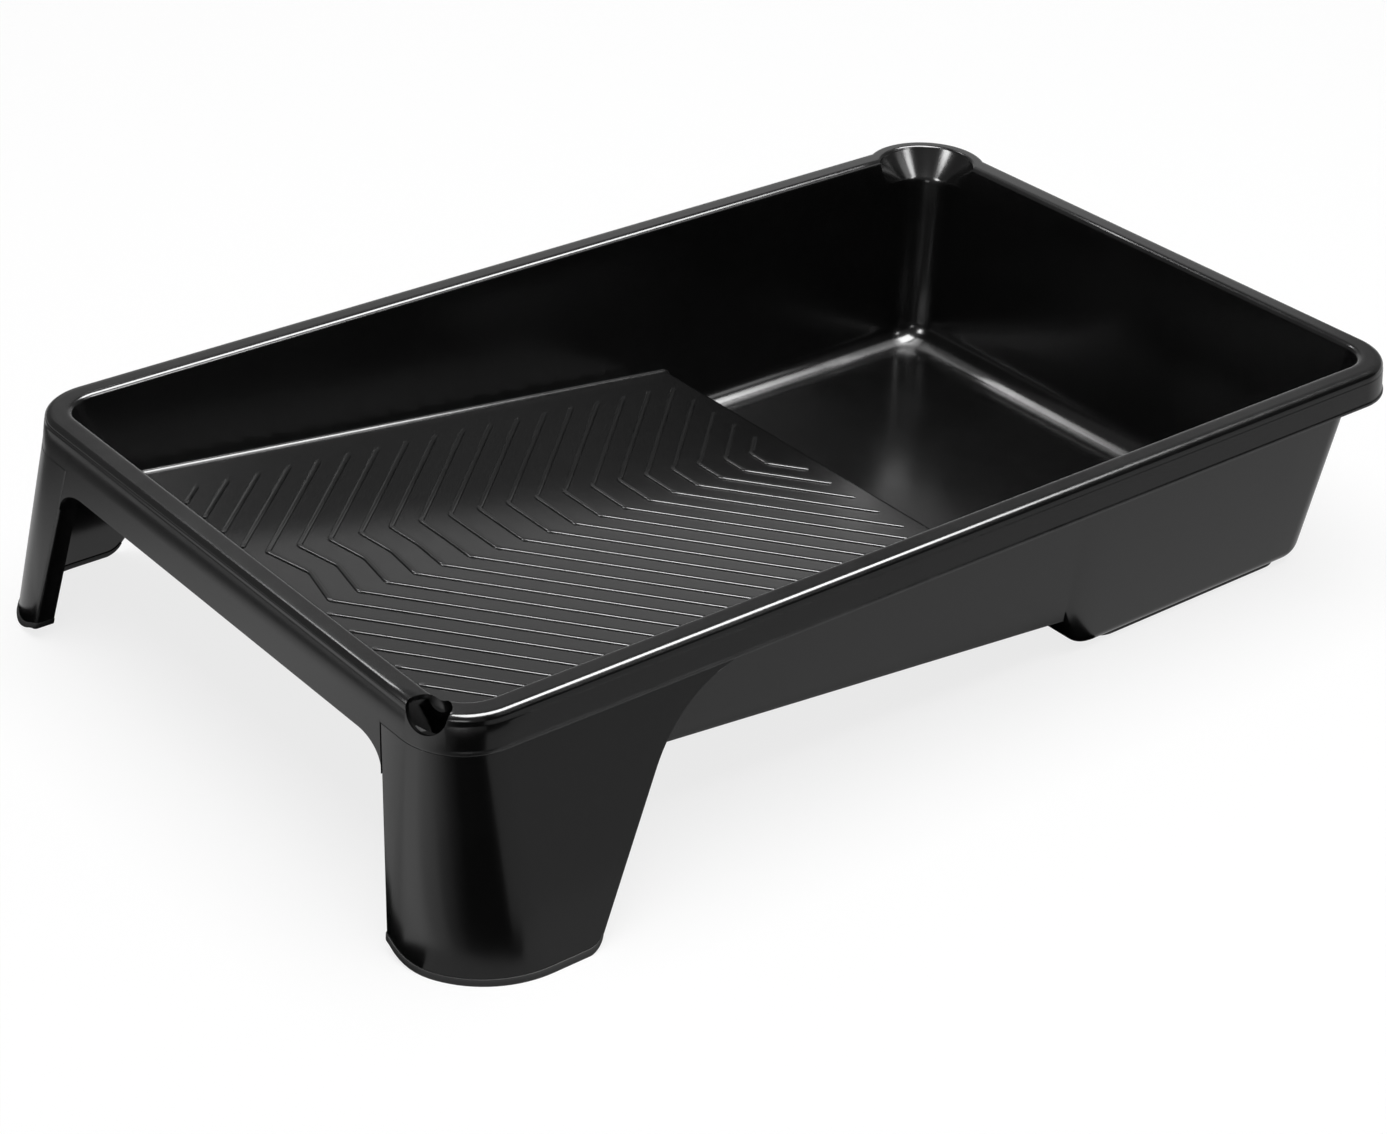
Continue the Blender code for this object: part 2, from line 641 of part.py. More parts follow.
def build_leg_mesh(side):
    """Outer rows up to the tongue, then the matching inner rows one wall thickness inside."""
    depths = leg_depths()
    seat = WALL_THICKNESS + FIT_CLEARANCE
    tongue_top = SKIRT_DEPTH - TONGUE_HEIGHT
    top = depths[-1]
    curve_end = depths[-1 - TRAIL_SEGMENTS]
    outer = []
    inner = []
    for depth in depths:
        share = min((depth - top) / (curve_end - top), 1.0)
        outer.append(leg_row(depth, 0.0, side))
        inner.append(leg_row(depth + WALL_THICKNESS * (1.0 - share), WALL_THICKNESS, side))
    outer.append(tongue_row(top, seat, side))
    inner.append(tongue_row(top + WALL_THICKNESS, seat + WALL_THICKNESS, side))
    outer.append(tongue_row(tongue_top, seat, side))
    inner.append(tongue_row(tongue_top, seat + WALL_THICKNESS, side))
    return loft_closed_rows(outer + inner[::-1])


def loft_closed_rows(rows):
    """Skin a closed loop of rows and close both ends between the matching outer and inner rows."""
    bm = bmesh.new()
    verts = [[bm.verts.new(point) for point in row] for row in rows]
    count = len(verts)
    for index in range(count):
        here = verts[index]
        there = verts[(index + 1) % count]
        for step in range(len(here) - 1):
            bm.faces.new([here[step], here[step + 1], there[step + 1], there[step]])
    for end in (0, -1):
        for index in range(count // 2 - 1):
            partner = count - 1 - index
            corners = [verts[index][end], verts[index + 1][end], verts[partner - 1][end], verts[partner][end]]
            bm.faces.new(corners)
    return bm


# Soft feet


def build_leg_foot_mesh(side):
    """Push-on strip of U section along the lower edge of a leg."""
    outside = -FIT_CLEARANCE
    inside = WALL_THICKNESS + FIT_CLEARANCE
    top = FOOT_SOLE + FIT_CLEARANCE + FOOT_GRIP
    section = [
        (outside - FOOT_WALL, top),
        (outside - FOOT_WALL, 0.0),
        (inside + FOOT_WALL, 0.0),
        (inside + FOOT_WALL, top),
        (inside, top),
        (inside, FOOT_SOLE),
        (outside, FOOT_SOLE),
        (outside, top),
    ]
    half_turn = (math.pi / 2 - LEG_TRAIL_LEAN) / 2
    end_x = -HALF_LENGTH + LEG_TRAIL_AT_FLOOR - LEG_TOE_RADIUS * math.tan(half_turn)
    rows = [leg_row(RIM_HEIGHT - height, inset, side, end_x) for inset, height in section]
    heel_y = leg_row(LEG_BOTTOM_DEPTH, 0.0, side)[0].y
    for row in rows:
        row[0].y = heel_y
    return loft_closed_rows(rows)


def ring_loop(bm, inset, height):
    """Rounded outline under the flat well floor, as a closed list of vertices."""
    under_depth = WELL_DEPTH + WALL_THICKNESS
    flat_side = wall_profile(SIDE_DRAFT, under_depth, UNDER_FILLET_SIDE, WALL_THICKNESS)[-1][0]
    flat_end = wall_profile(END_DRAFT, under_depth, UNDER_FILLET_END, WALL_THICKNESS)[-1][0]
    side = flat_side - RING_OVERHANG + inset
    end = flat_end - RING_OVERHANG + inset
    low_x = RAMP_EDGE_X + DROP_LENGTH + inset
    high_x = HALF_LENGTH - end
    high_y = HALF_WIDTH - side
    radius = RING_WIDTH * 1.5 - inset
    loop = []
    for quarter, (sign_x, sign_y) in enumerate(((1, 1), (-1, 1), (-1, -1), (1, -1))):
        centre_x = high_x - radius if sign_x > 0 else low_x + radius
        centre_y = sign_y * (high_y - radius)
        for step in range(CORNER_SEGMENTS + 1):
            turn = math.pi / 2 * (quarter + step / CORNER_SEGMENTS)
            place = (centre_x + radius * math.cos(turn), centre_y + radius * math.sin(turn), height)
            loop.append(bm.verts.new(place))
    return loop


def build_ring_mesh():
    bm = bmesh.new()
    loops = [
        ring_loop(bm, 0.0, 0.0),
        ring_loop(bm, 0.0, RING_THICKNESS),
        ring_loop(bm, RING_WIDTH, RING_THICKNESS),
        ring_loop(bm, RING_WIDTH, 0.0),
    ]
    count = len(loops[0])
    for here, there in zip(loops, loops[1:] + loops[:1]):
        for step in range(count):
            following = (step + 1) % count
            bm.faces.new([here[step], here[following], there[following], there[step]])
    return bm


# The assembly

clear_scene()
tray_plastic = make_material("black_polypropylene", 0.016, 0.38)
leg_plastic = make_material("black_polypropylene_legs", 0.018, 0.36)
foot_rubber = make_material("black_foot_elastomer", 0.010, 0.70)

tray_basin = make_object("tray_basin", build_basin_mesh(), tray_plastic)
ribs = make_cutter("ramp_rib_bars", build_rib_mesh())
add_boolean(tray_basin, ribs, "UNION")
hole = make_cutter("corner_hole_ball", build_hole_mesh())
add_boolean(tray_basin, hole, "DIFFERENCE")

front_leg = make_object("front_leg", build_leg_mesh(-1), leg_plastic)
rear_leg = make_object("rear_leg", build_leg_mesh(1), leg_plastic)
front_leg_foot = make_object("front_leg_foot", build_leg_foot_mesh(-1), foot_rubber)
rear_leg_foot = make_object("rear_leg_foot", build_leg_foot_mesh(1), foot_rubber)
well_foot_ring = make_object("well_foot_ring", build_ring_mesh(), foot_rubber)
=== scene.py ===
import math

import bmesh
import bpy
from mathutils import Matrix, Vector


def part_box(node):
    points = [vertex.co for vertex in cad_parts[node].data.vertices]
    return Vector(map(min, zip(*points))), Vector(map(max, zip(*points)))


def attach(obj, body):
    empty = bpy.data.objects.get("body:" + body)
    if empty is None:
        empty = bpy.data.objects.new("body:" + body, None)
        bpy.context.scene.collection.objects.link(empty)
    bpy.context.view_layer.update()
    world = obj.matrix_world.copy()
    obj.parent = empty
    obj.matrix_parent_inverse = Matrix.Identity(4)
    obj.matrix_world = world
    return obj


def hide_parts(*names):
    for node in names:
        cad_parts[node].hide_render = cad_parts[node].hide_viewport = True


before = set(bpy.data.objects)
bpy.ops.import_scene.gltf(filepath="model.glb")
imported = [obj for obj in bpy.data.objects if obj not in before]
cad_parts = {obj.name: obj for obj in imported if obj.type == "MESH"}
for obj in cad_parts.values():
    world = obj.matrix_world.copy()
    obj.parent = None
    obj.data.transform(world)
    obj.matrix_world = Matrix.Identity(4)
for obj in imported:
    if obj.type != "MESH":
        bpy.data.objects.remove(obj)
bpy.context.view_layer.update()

# Tray basin
# The body that holds the paint, one injection moulding in black polypropylene with a 2 mm wall. The rim turns
# down into a skirt, the walls lean inwards to a sloping ramp and a flat well, and a pouring spout and a round
# hanging hole are moulded into two of the corners. Depths are measured down from the top of the rim.
RIM_LENGTH = 0.489
RIM_WIDTH = 0.300
RIM_CORNER_RADIUS = 0.025
WALL_THICKNESS = 0.002
FIT_CLEARANCE = 0.0003
FLANGE_WIDTH = 0.011
SHOULDER_RADIUS = 0.003
INNER_EDGE_RADIUS = 0.0025
INNER_CORNER_RADIUS = 0.015
SKIRT_DEPTH = 0.0146
SKIRT_BAND = 0.002
SKIRT_FLARE = math.radians(5.0)
END_FLARE = math.radians(8.3)
SKIRT_STEP_DEPTH = 0.0041
SKIRT_STEP_PROUD = 0.00014
SKIRT_LIP_PROUD = 0.00045
SKIRT_LIP_HEIGHT = 0.0012
SKIRT_EDGE_ROUND = 0.0004
SIDE_DRAFT = math.radians(6.5)
END_DRAFT = math.radians(8.6)
RAMP_EDGE_FROM_END = 0.3138
RAMP_EDGE_DEPTH = 0.0695
RAMP_EDGE_ROUND = 0.0018
RAMP_SLOPE = math.radians(6.3)
RAMP_FILLET = 0.002
RAMP_LIP = 0.0036
DROP_LENGTH = 0.024
DROP_POWER = 2.8
WELL_FILLET_SIDE = 0.010
WELL_FILLET_END = 0.013
UNDER_FILLET_SIDE = 0.006
UNDER_FILLET_END = 0.015
APRON_DEPTH = 0.0225
ARCH_WIDTH = 0.0165
ARCH_DROP = 0.0105
LEG_EDGE_INSET = 0.0385
LEG_EDGE_TAPER = math.radians(13.0)
SPOUT_INSET = 0.026
SPOUT_OUTER_RADIUS = 0.0285
SPOUT_INNER_RADIUS = 0.0218
SPOUT_DEPTH = 0.0135
SPOUT_REACH = 0.012
SPOUT_STRAIGHT = 0.004
SPOUT_EASE = math.radians(26.0)
SPOUT_EDGE_ROUND = 0.0016
HOLE_RADIUS = 0.0087
HOLE_FROM_END = 0.0039
HOLE_FROM_FRONT = 0.0172
HOLE_LIFT = -0.0012
HOLE_EDGE_ROUND = 0.0004
SEAM_GAP = 0.00015
FLAT_BORDER = 0.0012
# Shares of the lip's height and of how far it stands proud, up from the skirt's lower edge.
SKIRT_LIP_PROFILE = ((0.0, 0.7), (0.25, 1.0), (0.9, 1.0), (1.3, 0.0))
SKIRT_STEP_RUN = 1.5
BEND_REACH_SHARE = 0.45
LEAST_CORNER_SHARE = 0.1

DROP_STEPS = 22
DROP_FIRST_SHARE = 0.028
DROP_SPACING_POWER = 1.3
ROUND_STEPS = 6
CORNER_STEPS = 24
SPOUT_STEPS = 44
SPOUT_BEND_STEPS = 4
SHOULDER_STEPS = 8
INNER_EDGE_STEPS = 8
FILLET_STEPS = 10
ARCH_STEPS = 14
FLOOR_DEPTH_ROUNDS = 6
HOLE_BALL_STEPS = 64
MERGE_DISTANCE = 0.00002
HOLE_EDGE_ANGLE = math.radians(25.0)
SHELL_SHARP_ANGLE = math.radians(32.0)
BEVEL_LAYER = "bevel_weight_edge"

HALF_LENGTH = RIM_LENGTH / 2
HALF_WIDTH = RIM_WIDTH / 2
RAMP_EDGE_X = -HALF_LENGTH + RAMP_EDGE_FROM_END
FLAT_INSET = FLANGE_WIDTH - INNER_EDGE_RADIUS
RIM_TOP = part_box("tray_basin")[1].z
ring_low, ring_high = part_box("well_foot_ring")
WELL_DEPTH = RIM_TOP - ring_high.z - FIT_CLEARANCE - WALL_THICKNESS
TRAY_MIDDLE = Vector((ring_low.x - RAMP_EDGE_X - DROP_LENGTH, 0.0, 0.0))


def quarter_turns(steps):
    """Angles from 0 to 90 degrees in even steps."""
    return [math.pi / 2 * step / steps for step in range(steps + 1)]


def at_depth(x, y, depth):
    """Point at a depth below the top of the rim."""
    return Vector((x, y, RIM_TOP - depth))


def ramp_depth(x):
    return RAMP_EDGE_DEPTH + math.tan(RAMP_SLOPE) * (x - RAMP_EDGE_X)


def drop_point(share):
    """Point (x, depth) on the curve from the ramp's edge down to the well floor."""
    down = 1.0 - (1.0 - share) ** DROP_POWER
    depth = RAMP_EDGE_DEPTH + (WELL_DEPTH - RAMP_EDGE_DEPTH) * down
    return Vector((RAMP_EDGE_X + DROP_LENGTH * share, depth))


def offset_below(points):
    """The same points on the underside, one wall thickness away along the mitred normal."""
    directions = [(after - before).normalized() for before, after in zip(points, points[1:])]
    result = []
    for index, point in enumerate(points):
        before = directions[max(index - 1, 0)]
        after = directions[min(index, len(directions) - 1)]
        normal = Vector((-before.y - after.y, before.x + after.x)).normalized()
        result.append(point + normal * (WALL_THICKNESS / normal.dot(Vector((-before.y, before.x)))))
    return result


def floor_stations():
    """Pairs of points (x, depth) along the floor, on its upper face and on its underside."""
    first_x = -HALF_LENGTH + FLANGE_WIDTH + RIM_CORNER_RADIUS
    last_x = HALF_LENGTH - SPOUT_INSET - SPOUT_INNER_RADIUS - SPOUT_STRAIGHT
    crease = Vector((RAMP_EDGE_X, RAMP_EDGE_DEPTH))
    downhill = Vector((math.cos(RAMP_SLOPE), math.sin(RAMP_SLOPE)))
    points = [Vector((first_x, ramp_depth(first_x))), crease - downhill * RAMP_EDGE_ROUND, crease]
    for step in range(DROP_STEPS + 1):
        share = DROP_FIRST_SHARE + (1.0 - DROP_FIRST_SHARE) * (step / DROP_STEPS) ** DROP_SPACING_POWER
        points.append(drop_point(share))
    points.append(Vector((last_x, WELL_DEPTH)))
    unders = offset_below(points)
    pairs = list(zip(points, unders))
    start, crease_under, end = (points[1], points[3]), unders[2], (unders[1], unders[3])
    rounded = []
    for step in range(1, ROUND_STEPS):
        share = step / ROUND_STEPS
        top = start[0].lerp(crease, share).lerp(crease.lerp(start[1], share), share)
        if share < 0.5:
            under = end[0].lerp(crease_under, 2 * share)
        else:
            under = crease_under.lerp(end[1], 2 * share - 1)
        rounded.append((top, under))
    return pairs[:2] + rounded + pairs[3:]


def arch_columns():
    """Columns of one half of the shallow end, from the middle to the leg, as (y, lowest y, depth)."""
    leg_y = HALF_WIDTH - LEG_EDGE_INSET - SEAM_GAP
    foot_depth = APRON_DEPTH + ARCH_DROP
    foot_y = leg_y + math.tan(LEG_EDGE_TAPER) * (foot_depth - SKIRT_DEPTH)
    start_y = foot_y - ARCH_WIDTH
    columns = [(0.0, 0.0, APRON_DEPTH)]
    for turn in quarter_turns(ARCH_STEPS):
        y = start_y + (leg_y - 2 * SEAM_GAP - start_y) * math.sin(turn)
        low_y = start_y + ARCH_WIDTH * math.sin(turn)
        columns.append((y, low_y, APRON_DEPTH + ARCH_DROP * (1.0 - math.cos(turn))))
    columns.append((leg_y, leg_y, SKIRT_DEPTH))
    return columns


def basin_columns():
    """Columns in order round the tray, each running from the skirt over the flange down to the floor."""
    stations = floor_stations()
    columns = [{"kind": "front", "top": top, "under": under} for top, under in stations]
    corner_turns = quarter_turns(CORNER_STEPS)
    for turn in corner_turns:
        columns.append({"kind": "corner", "sign_x": 1, "sign_y": -1, "turn": math.pi * 1.5 + turn})
    columns.append({"kind": "right", "y": 0.0})
    for step in range(SPOUT_STEPS + 1):
        columns.append({"kind": "spout", "share": step / SPOUT_STEPS})
    for top, under in reversed(stations):
        columns.append({"kind": "back", "top": top, "under": under})
    for turn in corner_turns:
        columns.append({"kind": "corner", "sign_x": -1, "sign_y": 1, "turn": math.pi * 0.5 + turn})
    arch = arch_columns()
    for y, low_y, depth in reversed(arch[1:]):
        columns.append({"kind": "left", "y": y, "low_y": low_y, "skirt": depth})
    for y, low_y, depth in arch:
        columns.append({"kind": "left", "y": -y, "low_y": -low_y, "skirt": depth})
    for turn in corner_turns:
        columns.append({"kind": "corner", "sign_x": -1, "sign_y": -1, "turn": math.pi + turn})
    return columns


def spout_plan(share, side, radius):
    """Point on the spout's own arc, which starts and ends on the straight edges of the rim."""
    beyond = math.acos(min((SPOUT_INSET - side) / radius, 1.0))
    turn = -beyond + (math.pi / 2 + 2 * beyond) * share
    x = HALF_LENGTH - SPOUT_INSET + radius * math.cos(turn)
    y = HALF_WIDTH - SPOUT_INSET + radius * math.sin(turn)
    return x, y


def plan_point(column, end, side, radius, under=False, spout_radius=None):
    """Plan position of a column on the ring that lies the given distances inside the rim's outline."""
    kind = column["kind"]
    high_x = HALF_LENGTH - end
    high_y = HALF_WIDTH - side
    if kind in ("front", "back"):
        station = column["under"] if under else column["top"]
        return station.x, high_y if kind == "back" else -high_y
    if kind in ("left", "right"):
        return high_x if kind == "right" else -high_x, column["y"]
    sign_x = column.get("sign_x", 1)
    sign_y = column.get("sign_y", 1)
    turn = column.get("turn")
    if kind == "spout":
        share = column["share"]
        if spout_radius:
            return spout_plan(share, side, spout_radius)
        if share == 0.0:
            return high_x, min(HALF_WIDTH - SPOUT_INSET - SPOUT_REACH, high_y - radius - SPOUT_STRAIGHT / 2)
        if share == 1.0:
            return min(HALF_LENGTH - SPOUT_INSET - SPOUT_REACH, high_x - radius - SPOUT_STRAIGHT / 2), high_y
        turn = math.pi / 2 * (share * SPOUT_STEPS - 1.0) / (SPOUT_STEPS - 2.0)
    centre_x = sign_x * (high_x - radius)
    centre_y = sign_y * (high_y - radius)
    return centre_x + radius * math.cos(turn), centre_y + radius * math.sin(turn)


def side_share(column):
    """How much a column belongs to a long side (1) or to an end (0)."""
    kind = column["kind"]
    if kind == "spout":
        return column["share"]
    if kind == "corner":
        return math.sin(column["turn"]) ** 2
    return 1.0 if kind in ("front", "back") else 0.0


def is_ramp_end(column):
    """True for the columns of the shallow end and of its two corners."""
    return column["kind"] == "left" or column.get("sign_x") == -1


def skirt_flares(column):
    """Flare of the skirt at the column's end and long side: the shallow end stands out more."""
    return (END_FLARE if is_ramp_end(column) else SKIRT_FLARE), SKIRT_FLARE


def wall_line(draft, depth):
    """Inset of the inner wall face at a depth, tangent to the rounded inner edge of the flange."""
    start_inset = FLAT_INSET + INNER_EDGE_RADIUS * math.cos(draft)
    start_depth = INNER_EDGE_RADIUS * (1.0 - math.sin(draft))
    return start_inset + math.tan(draft) * (depth - start_depth)


def wall_profile(draft, floor_depth, fillet, skin):
    """Rings of a wall as (inset, depth) from below the flange to the end of the floor fillet."""
    shift = skin / math.cos(draft)
    rings = [(wall_line(draft, SPOUT_DEPTH + skin) - shift, SPOUT_DEPTH + skin)]
    tangent = fillet * math.tan((math.pi / 2 - draft) / 2)
    centre_inset = wall_line(draft, floor_depth) - shift + tangent
    for step in range(FILLET_STEPS + 1):
        turn = draft + (math.pi / 2 - draft) * step / FILLET_STEPS
        rings.append((centre_inset - fillet * math.cos(turn), floor_depth - fillet + fillet * math.sin(turn)))
    return rings


def floor_depth_of(column):
    """Depth of the floor where a column's wall meets it."""
    if column["kind"] in ("front", "back"):
        return column["top"].y
    if not is_ramp_end(column):
        return WELL_DEPTH
    depth = ramp_depth(-HALF_LENGTH + FLANGE_WIDTH)
    for _ in range(FLOOR_DEPTH_ROUNDS):
        end = wall_profile(END_DRAFT, depth, RAMP_FILLET, 0.0)[-1][0]
        side = wall_profile(SIDE_DRAFT, depth, RAMP_FILLET, 0.0)[-1][0]
        depth = ramp_depth(plan_point(column, end, side, INNER_CORNER_RADIUS - RAMP_FILLET)[0])
    return depth


def fillets_of(depth, under):
    """Floor fillet radii at a floor depth, as (long side, end)."""
    share = min(max((depth - RAMP_EDGE_DEPTH) / (WELL_DEPTH - RAMP_EDGE_DEPTH), 0.0), 1.0)
    start = RAMP_FILLET + WALL_THICKNESS if under else RAMP_FILLET
    well_side = UNDER_FILLET_SIDE if under else WELL_FILLET_SIDE
    well_end = UNDER_FILLET_END if under else WELL_FILLET_END
    return start + (well_side - start) * share, start + (well_end - start) * share


def skirt_inset(flare, depth):
    return -math.tan(flare) * (depth - SHOULDER_RADIUS)


def skirt_point(column, depth, proud, under=False):
    """Point on the skirt at a depth, standing proud of its face (negative is behind it)."""
    end_flare, side_flare = skirt_flares(column)
    end = skirt_inset(end_flare, depth) - proud
    side = skirt_inset(side_flare, depth) - proud
    x, y = plan_point(column, end, side, RIM_CORNER_RADIUS - side, under, SPOUT_OUTER_RADIUS - side)
    band = SKIRT_DEPTH - SKIRT_BAND
    if "low_y" in column and depth > band:
        y += (column["low_y"] - column["y"]) * (depth - band) / (column["skirt"] - band)
    return at_depth(x, y, depth)


def wall_points(column, skin):
    """Points of a column's wall: where it meets the spout, its floor fillet and a border of the floor."""
    under = skin > 0.0
    share = side_share(column)
    floor_depth = floor_depth_of(column)
    side_fillet, end_fillet = fillets_of(floor_depth, under)
    if under:
        floor_depth = column["under"].y if "under" in column else floor_depth + skin
    side_rings = wall_profile(SIDE_DRAFT, floor_depth, side_fillet, skin)
    end_rings = wall_profile(END_DRAFT, floor_depth, end_fillet, skin)
    side_rings.append((side_rings[-1][0] + FLAT_BORDER, side_rings[-1][1]))
    end_rings.append((end_rings[-1][0] + FLAT_BORDER, end_rings[-1][1]))
    points = []
    for index, (side_ring, end_ring) in enumerate(zip(side_rings, end_rings)):
        radius = INNER_CORNER_RADIUS + skin
        if index > 0:
            moved = (side_ring[0] - side_rings[1][0] + end_ring[0] - end_rings[1][0]) / 2
            radius = max(radius - moved, INNER_CORNER_RADIUS * LEAST_CORNER_SHARE)
        x, y = plan_point(column, end_ring[0], side_ring[0], radius, under)
        depth = share * side_ring[1] + (1.0 - share) * end_ring[1]
        points.append(at_depth(x, y, depth))
    if is_ramp_end(column):
        for point in points[-2 if under else -1:]:
            point.z = RIM_TOP - ramp_depth(point.x) - skin / math.cos(RAMP_SLOPE)
    if under and "under" in column:
        run_wall_below_ramp(column, points)
    return points


def run_wall_below_ramp(column, points):
    """Run the side wall on below the ramp as a stiffening lip, by reshaping its last underside points."""
    x, floor_depth = column["under"]
    lip_depth = ramp_depth(x) + WALL_THICKNESS + RAMP_LIP
    if floor_depth > lip_depth - WALL_THICKNESS:
        return
    sign = 1.0 if column["kind"] == "back" else -1.0
    outer_shift = WALL_THICKNESS / math.cos(SIDE_DRAFT)
    lip_inset = wall_line(SIDE_DRAFT, lip_depth) - outer_shift
    root_inset = wall_line(SIDE_DRAFT, floor_depth) - outer_shift + WALL_THICKNESS
    last = [(lip_inset, lip_depth), (lip_inset + WALL_THICKNESS, lip_depth), (root_inset, floor_depth)]
    last.append((root_inset + FLAT_BORDER, floor_depth))
    start_depth = RIM_TOP - points[1].z
    count = len(points) - len(last) - 1
    rings = []
    for step in range(count):
        depth = start_depth + (lip_depth - start_depth) * step / count
        rings.append((wall_line(SIDE_DRAFT, depth) - outer_shift, depth))
    for point, (inset, depth) in zip(points[1:], rings + last):
        point.y = sign * (HALF_WIDTH - inset)
        point.z = RIM_TOP - depth


def rounded_bend(before, bend, after, reach, steps):
    """Points on a soft bend that replaces a crease, touching both of its straight sides."""
    start, end = [bend + way.normalized() * min(reach, way.length * BEND_REACH_SHARE)
                  for way in (before - bend, after - bend)]
    points = []
    for step in range(steps + 1):
        share = step / steps
        points.append(start.lerp(bend, share).lerp(bend.lerp(end, share), share))
    return points


def upper_column(column):
    """Points of a column on the visible face, from the skirt's lower edge to the floor."""
    skirt = column.get("skirt", SKIRT_DEPTH)
    lip = SKIRT_LIP_PROUD
    if column["kind"] == "left":
        lip = 0.0
    elif is_ramp_end(column):
        lip *= side_share(column)
    points = []
    for rise, proud in SKIRT_LIP_PROFILE:
        depth = skirt - rise * SKIRT_LIP_HEIGHT
        points.append(skirt_point(column, depth, SKIRT_STEP_PROUD + lip * proud))
    points.append(skirt_point(column, SKIRT_DEPTH - SKIRT_BAND, SKIRT_STEP_PROUD))
    points.append(skirt_point(column, SKIRT_STEP_DEPTH + SKIRT_STEP_RUN * SKIRT_STEP_PROUD, SKIRT_STEP_PROUD))
    points.append(skirt_point(column, SKIRT_STEP_DEPTH, 0.0))
    squeeze = (SPOUT_OUTER_RADIUS - SPOUT_INNER_RADIUS) / FLANGE_WIDTH

    def add(inset, radius, depth):
        x, y = plan_point(column, inset, inset, radius, False, SPOUT_OUTER_RADIUS - inset * squeeze)
        points.append(at_depth(x, y, depth))

    for turn in quarter_turns(SHOULDER_STEPS):
        inset = SHOULDER_RADIUS * (1.0 - math.cos(turn))
        add(inset, RIM_CORNER_RADIUS - inset, SHOULDER_RADIUS * (1.0 - math.sin(turn)))
    for inset in (SHOULDER_RADIUS + FLAT_BORDER, FLAT_INSET - FLAT_BORDER):
        add(inset, (RIM_CORNER_RADIUS + INNER_CORNER_RADIUS + FLANGE_WIDTH) / 2 - inset, 0.0)
    last_turn = math.pi / 2 - SIDE_DRAFT
    if column["kind"] == "spout":
        last_turn -= SPOUT_EASE * math.sin(math.pi * column["share"])
    for step in range(INNER_EDGE_STEPS + 1):
        turn = last_turn * step / INNER_EDGE_STEPS
        inset = FLAT_INSET + INNER_EDGE_RADIUS * math.sin(turn)
        radius = INNER_CORNER_RADIUS + FLANGE_WIDTH - inset
        add(inset, radius, INNER_EDGE_RADIUS * (1.0 - math.cos(turn)))
    wall = wall_points(column, 0.0)
    points += rounded_bend(points[-1], wall[0], wall[1], SPOUT_EDGE_ROUND, SPOUT_BEND_STEPS)
    points.append(wall[1] + (wall[0] - wall[1]).normalized() * FLAT_BORDER)
    return points + wall[1:]


def under_column(column):
    """Points of a column on the hidden face, from the skirt's lower edge to the floor's underside."""
    skirt = column.get("skirt", SKIRT_DEPTH)
    skin = WALL_THICKNESS
    points = [skirt_point(column, skirt, -skin, True)]
    points.append(skirt_point(column, SKIRT_DEPTH - SKIRT_BAND, -skin, True))
    inner = FLANGE_WIDTH - skin
    corners = [(skin, RIM_CORNER_RADIUS - skin, SPOUT_OUTER_RADIUS - skin)]
    corners.append((inner, INNER_CORNER_RADIUS + skin, SPOUT_INNER_RADIUS + skin))
    for inset, radius, spout_radius in corners:
        x, y = plan_point(column, inset, inset, radius, True, spout_radius)
        points.append(at_depth(x, y, skin))
    return points + wall_points(column, skin)


def floor_faces(bm, columns, verts, flip):
    """Ramp, curved drop and well floor, spanning from the front columns to the back ones."""
    fronts = [index for index, column in enumerate(columns) if column["kind"] == "front"]
    backs = [index for index, column in enumerate(columns) if column["kind"] == "back"][::-1]
    flat = len(fronts) - 2
    loops = [fronts[:2] + list(range(backs[1], len(columns))), list(range(fronts[flat], backs[flat] + 1))]
    for step in range(1, flat):
        loops.append([fronts[step], fronts[step + 1], backs[step + 1], backs[step]])
    for loop in loops:
        corners = [verts[index][-1] for index in loop]
        bm.faces.new(corners[::-1] if flip else corners)


def build_basin_mesh():
    bm = bmesh.new()
    weight = bm.edges.layers.float.new(BEVEL_LAYER)
    columns = basin_columns()
    upper = [[bm.verts.new(point) for point in upper_column(column)] for column in columns]
    lower = [[bm.verts.new(point) for point in under_column(column)] for column in columns]
    for index in range(len(columns)):
        following = (index + 1) % len(columns)
        for verts, flip in ((upper, False), (lower, True)):
            here = verts[index]
            there = verts[following]
            for ring in range(len(here) - 1):
                corners = [here[ring], there[ring], there[ring + 1], here[ring + 1]]
                bm.faces.new(corners[::-1] if flip else corners)
        bm.faces.new([lower[index][0], lower[following][0], upper[following][0], upper[index][0]])
        for verts in (upper, lower):
            bm.edges.get((verts[index][0], verts[following][0]))[weight] = 1.0
    floor_faces(bm, columns, upper, False)
    floor_faces(bm, columns, lower, True)
    return bm


def add_object(name, data):
    """New object in the scene that shows the data."""
    item = bpy.data.objects.new(name, data)
    bpy.context.scene.collection.objects.link(item)
    return item


def make_piece(name, bm):
    """Stand a finished mesh in the shared frame as a named object at the origin."""
    bmesh.ops.translate(bm, verts=bm.verts, vec=TRAY_MIDDLE)
    bmesh.ops.recalc_face_normals(bm, faces=bm.faces)
    mesh = bpy.data.meshes.new(name)
    bm.to_mesh(mesh)
    bm.free()
    return add_object(name, mesh)


def bake_modifiers(piece, sharp_angle):
    """Turn the piece's modifiers into a plain mesh, smooth but for edges sharper than the angle."""
    bpy.context.view_layer.update()
    graph = bpy.context.evaluated_depsgraph_get()
    mesh = bpy.data.meshes.new_from_object(piece.evaluated_get(graph))
    piece.modifiers.clear()
    piece.data = mesh
    mesh.name = piece.name
    mesh.shade_smooth()
    mesh.set_sharp_from_angle(angle=sharp_angle)


def add_bevel(piece, name, method, width, segments):
    """Bevel that rounds off the edges picked by weight or by angle."""
    bevel = piece.modifiers.new(name, "BEVEL")
    bevel.limit_method = method
    bevel.width = width
    bevel.segments = segments
    return bevel


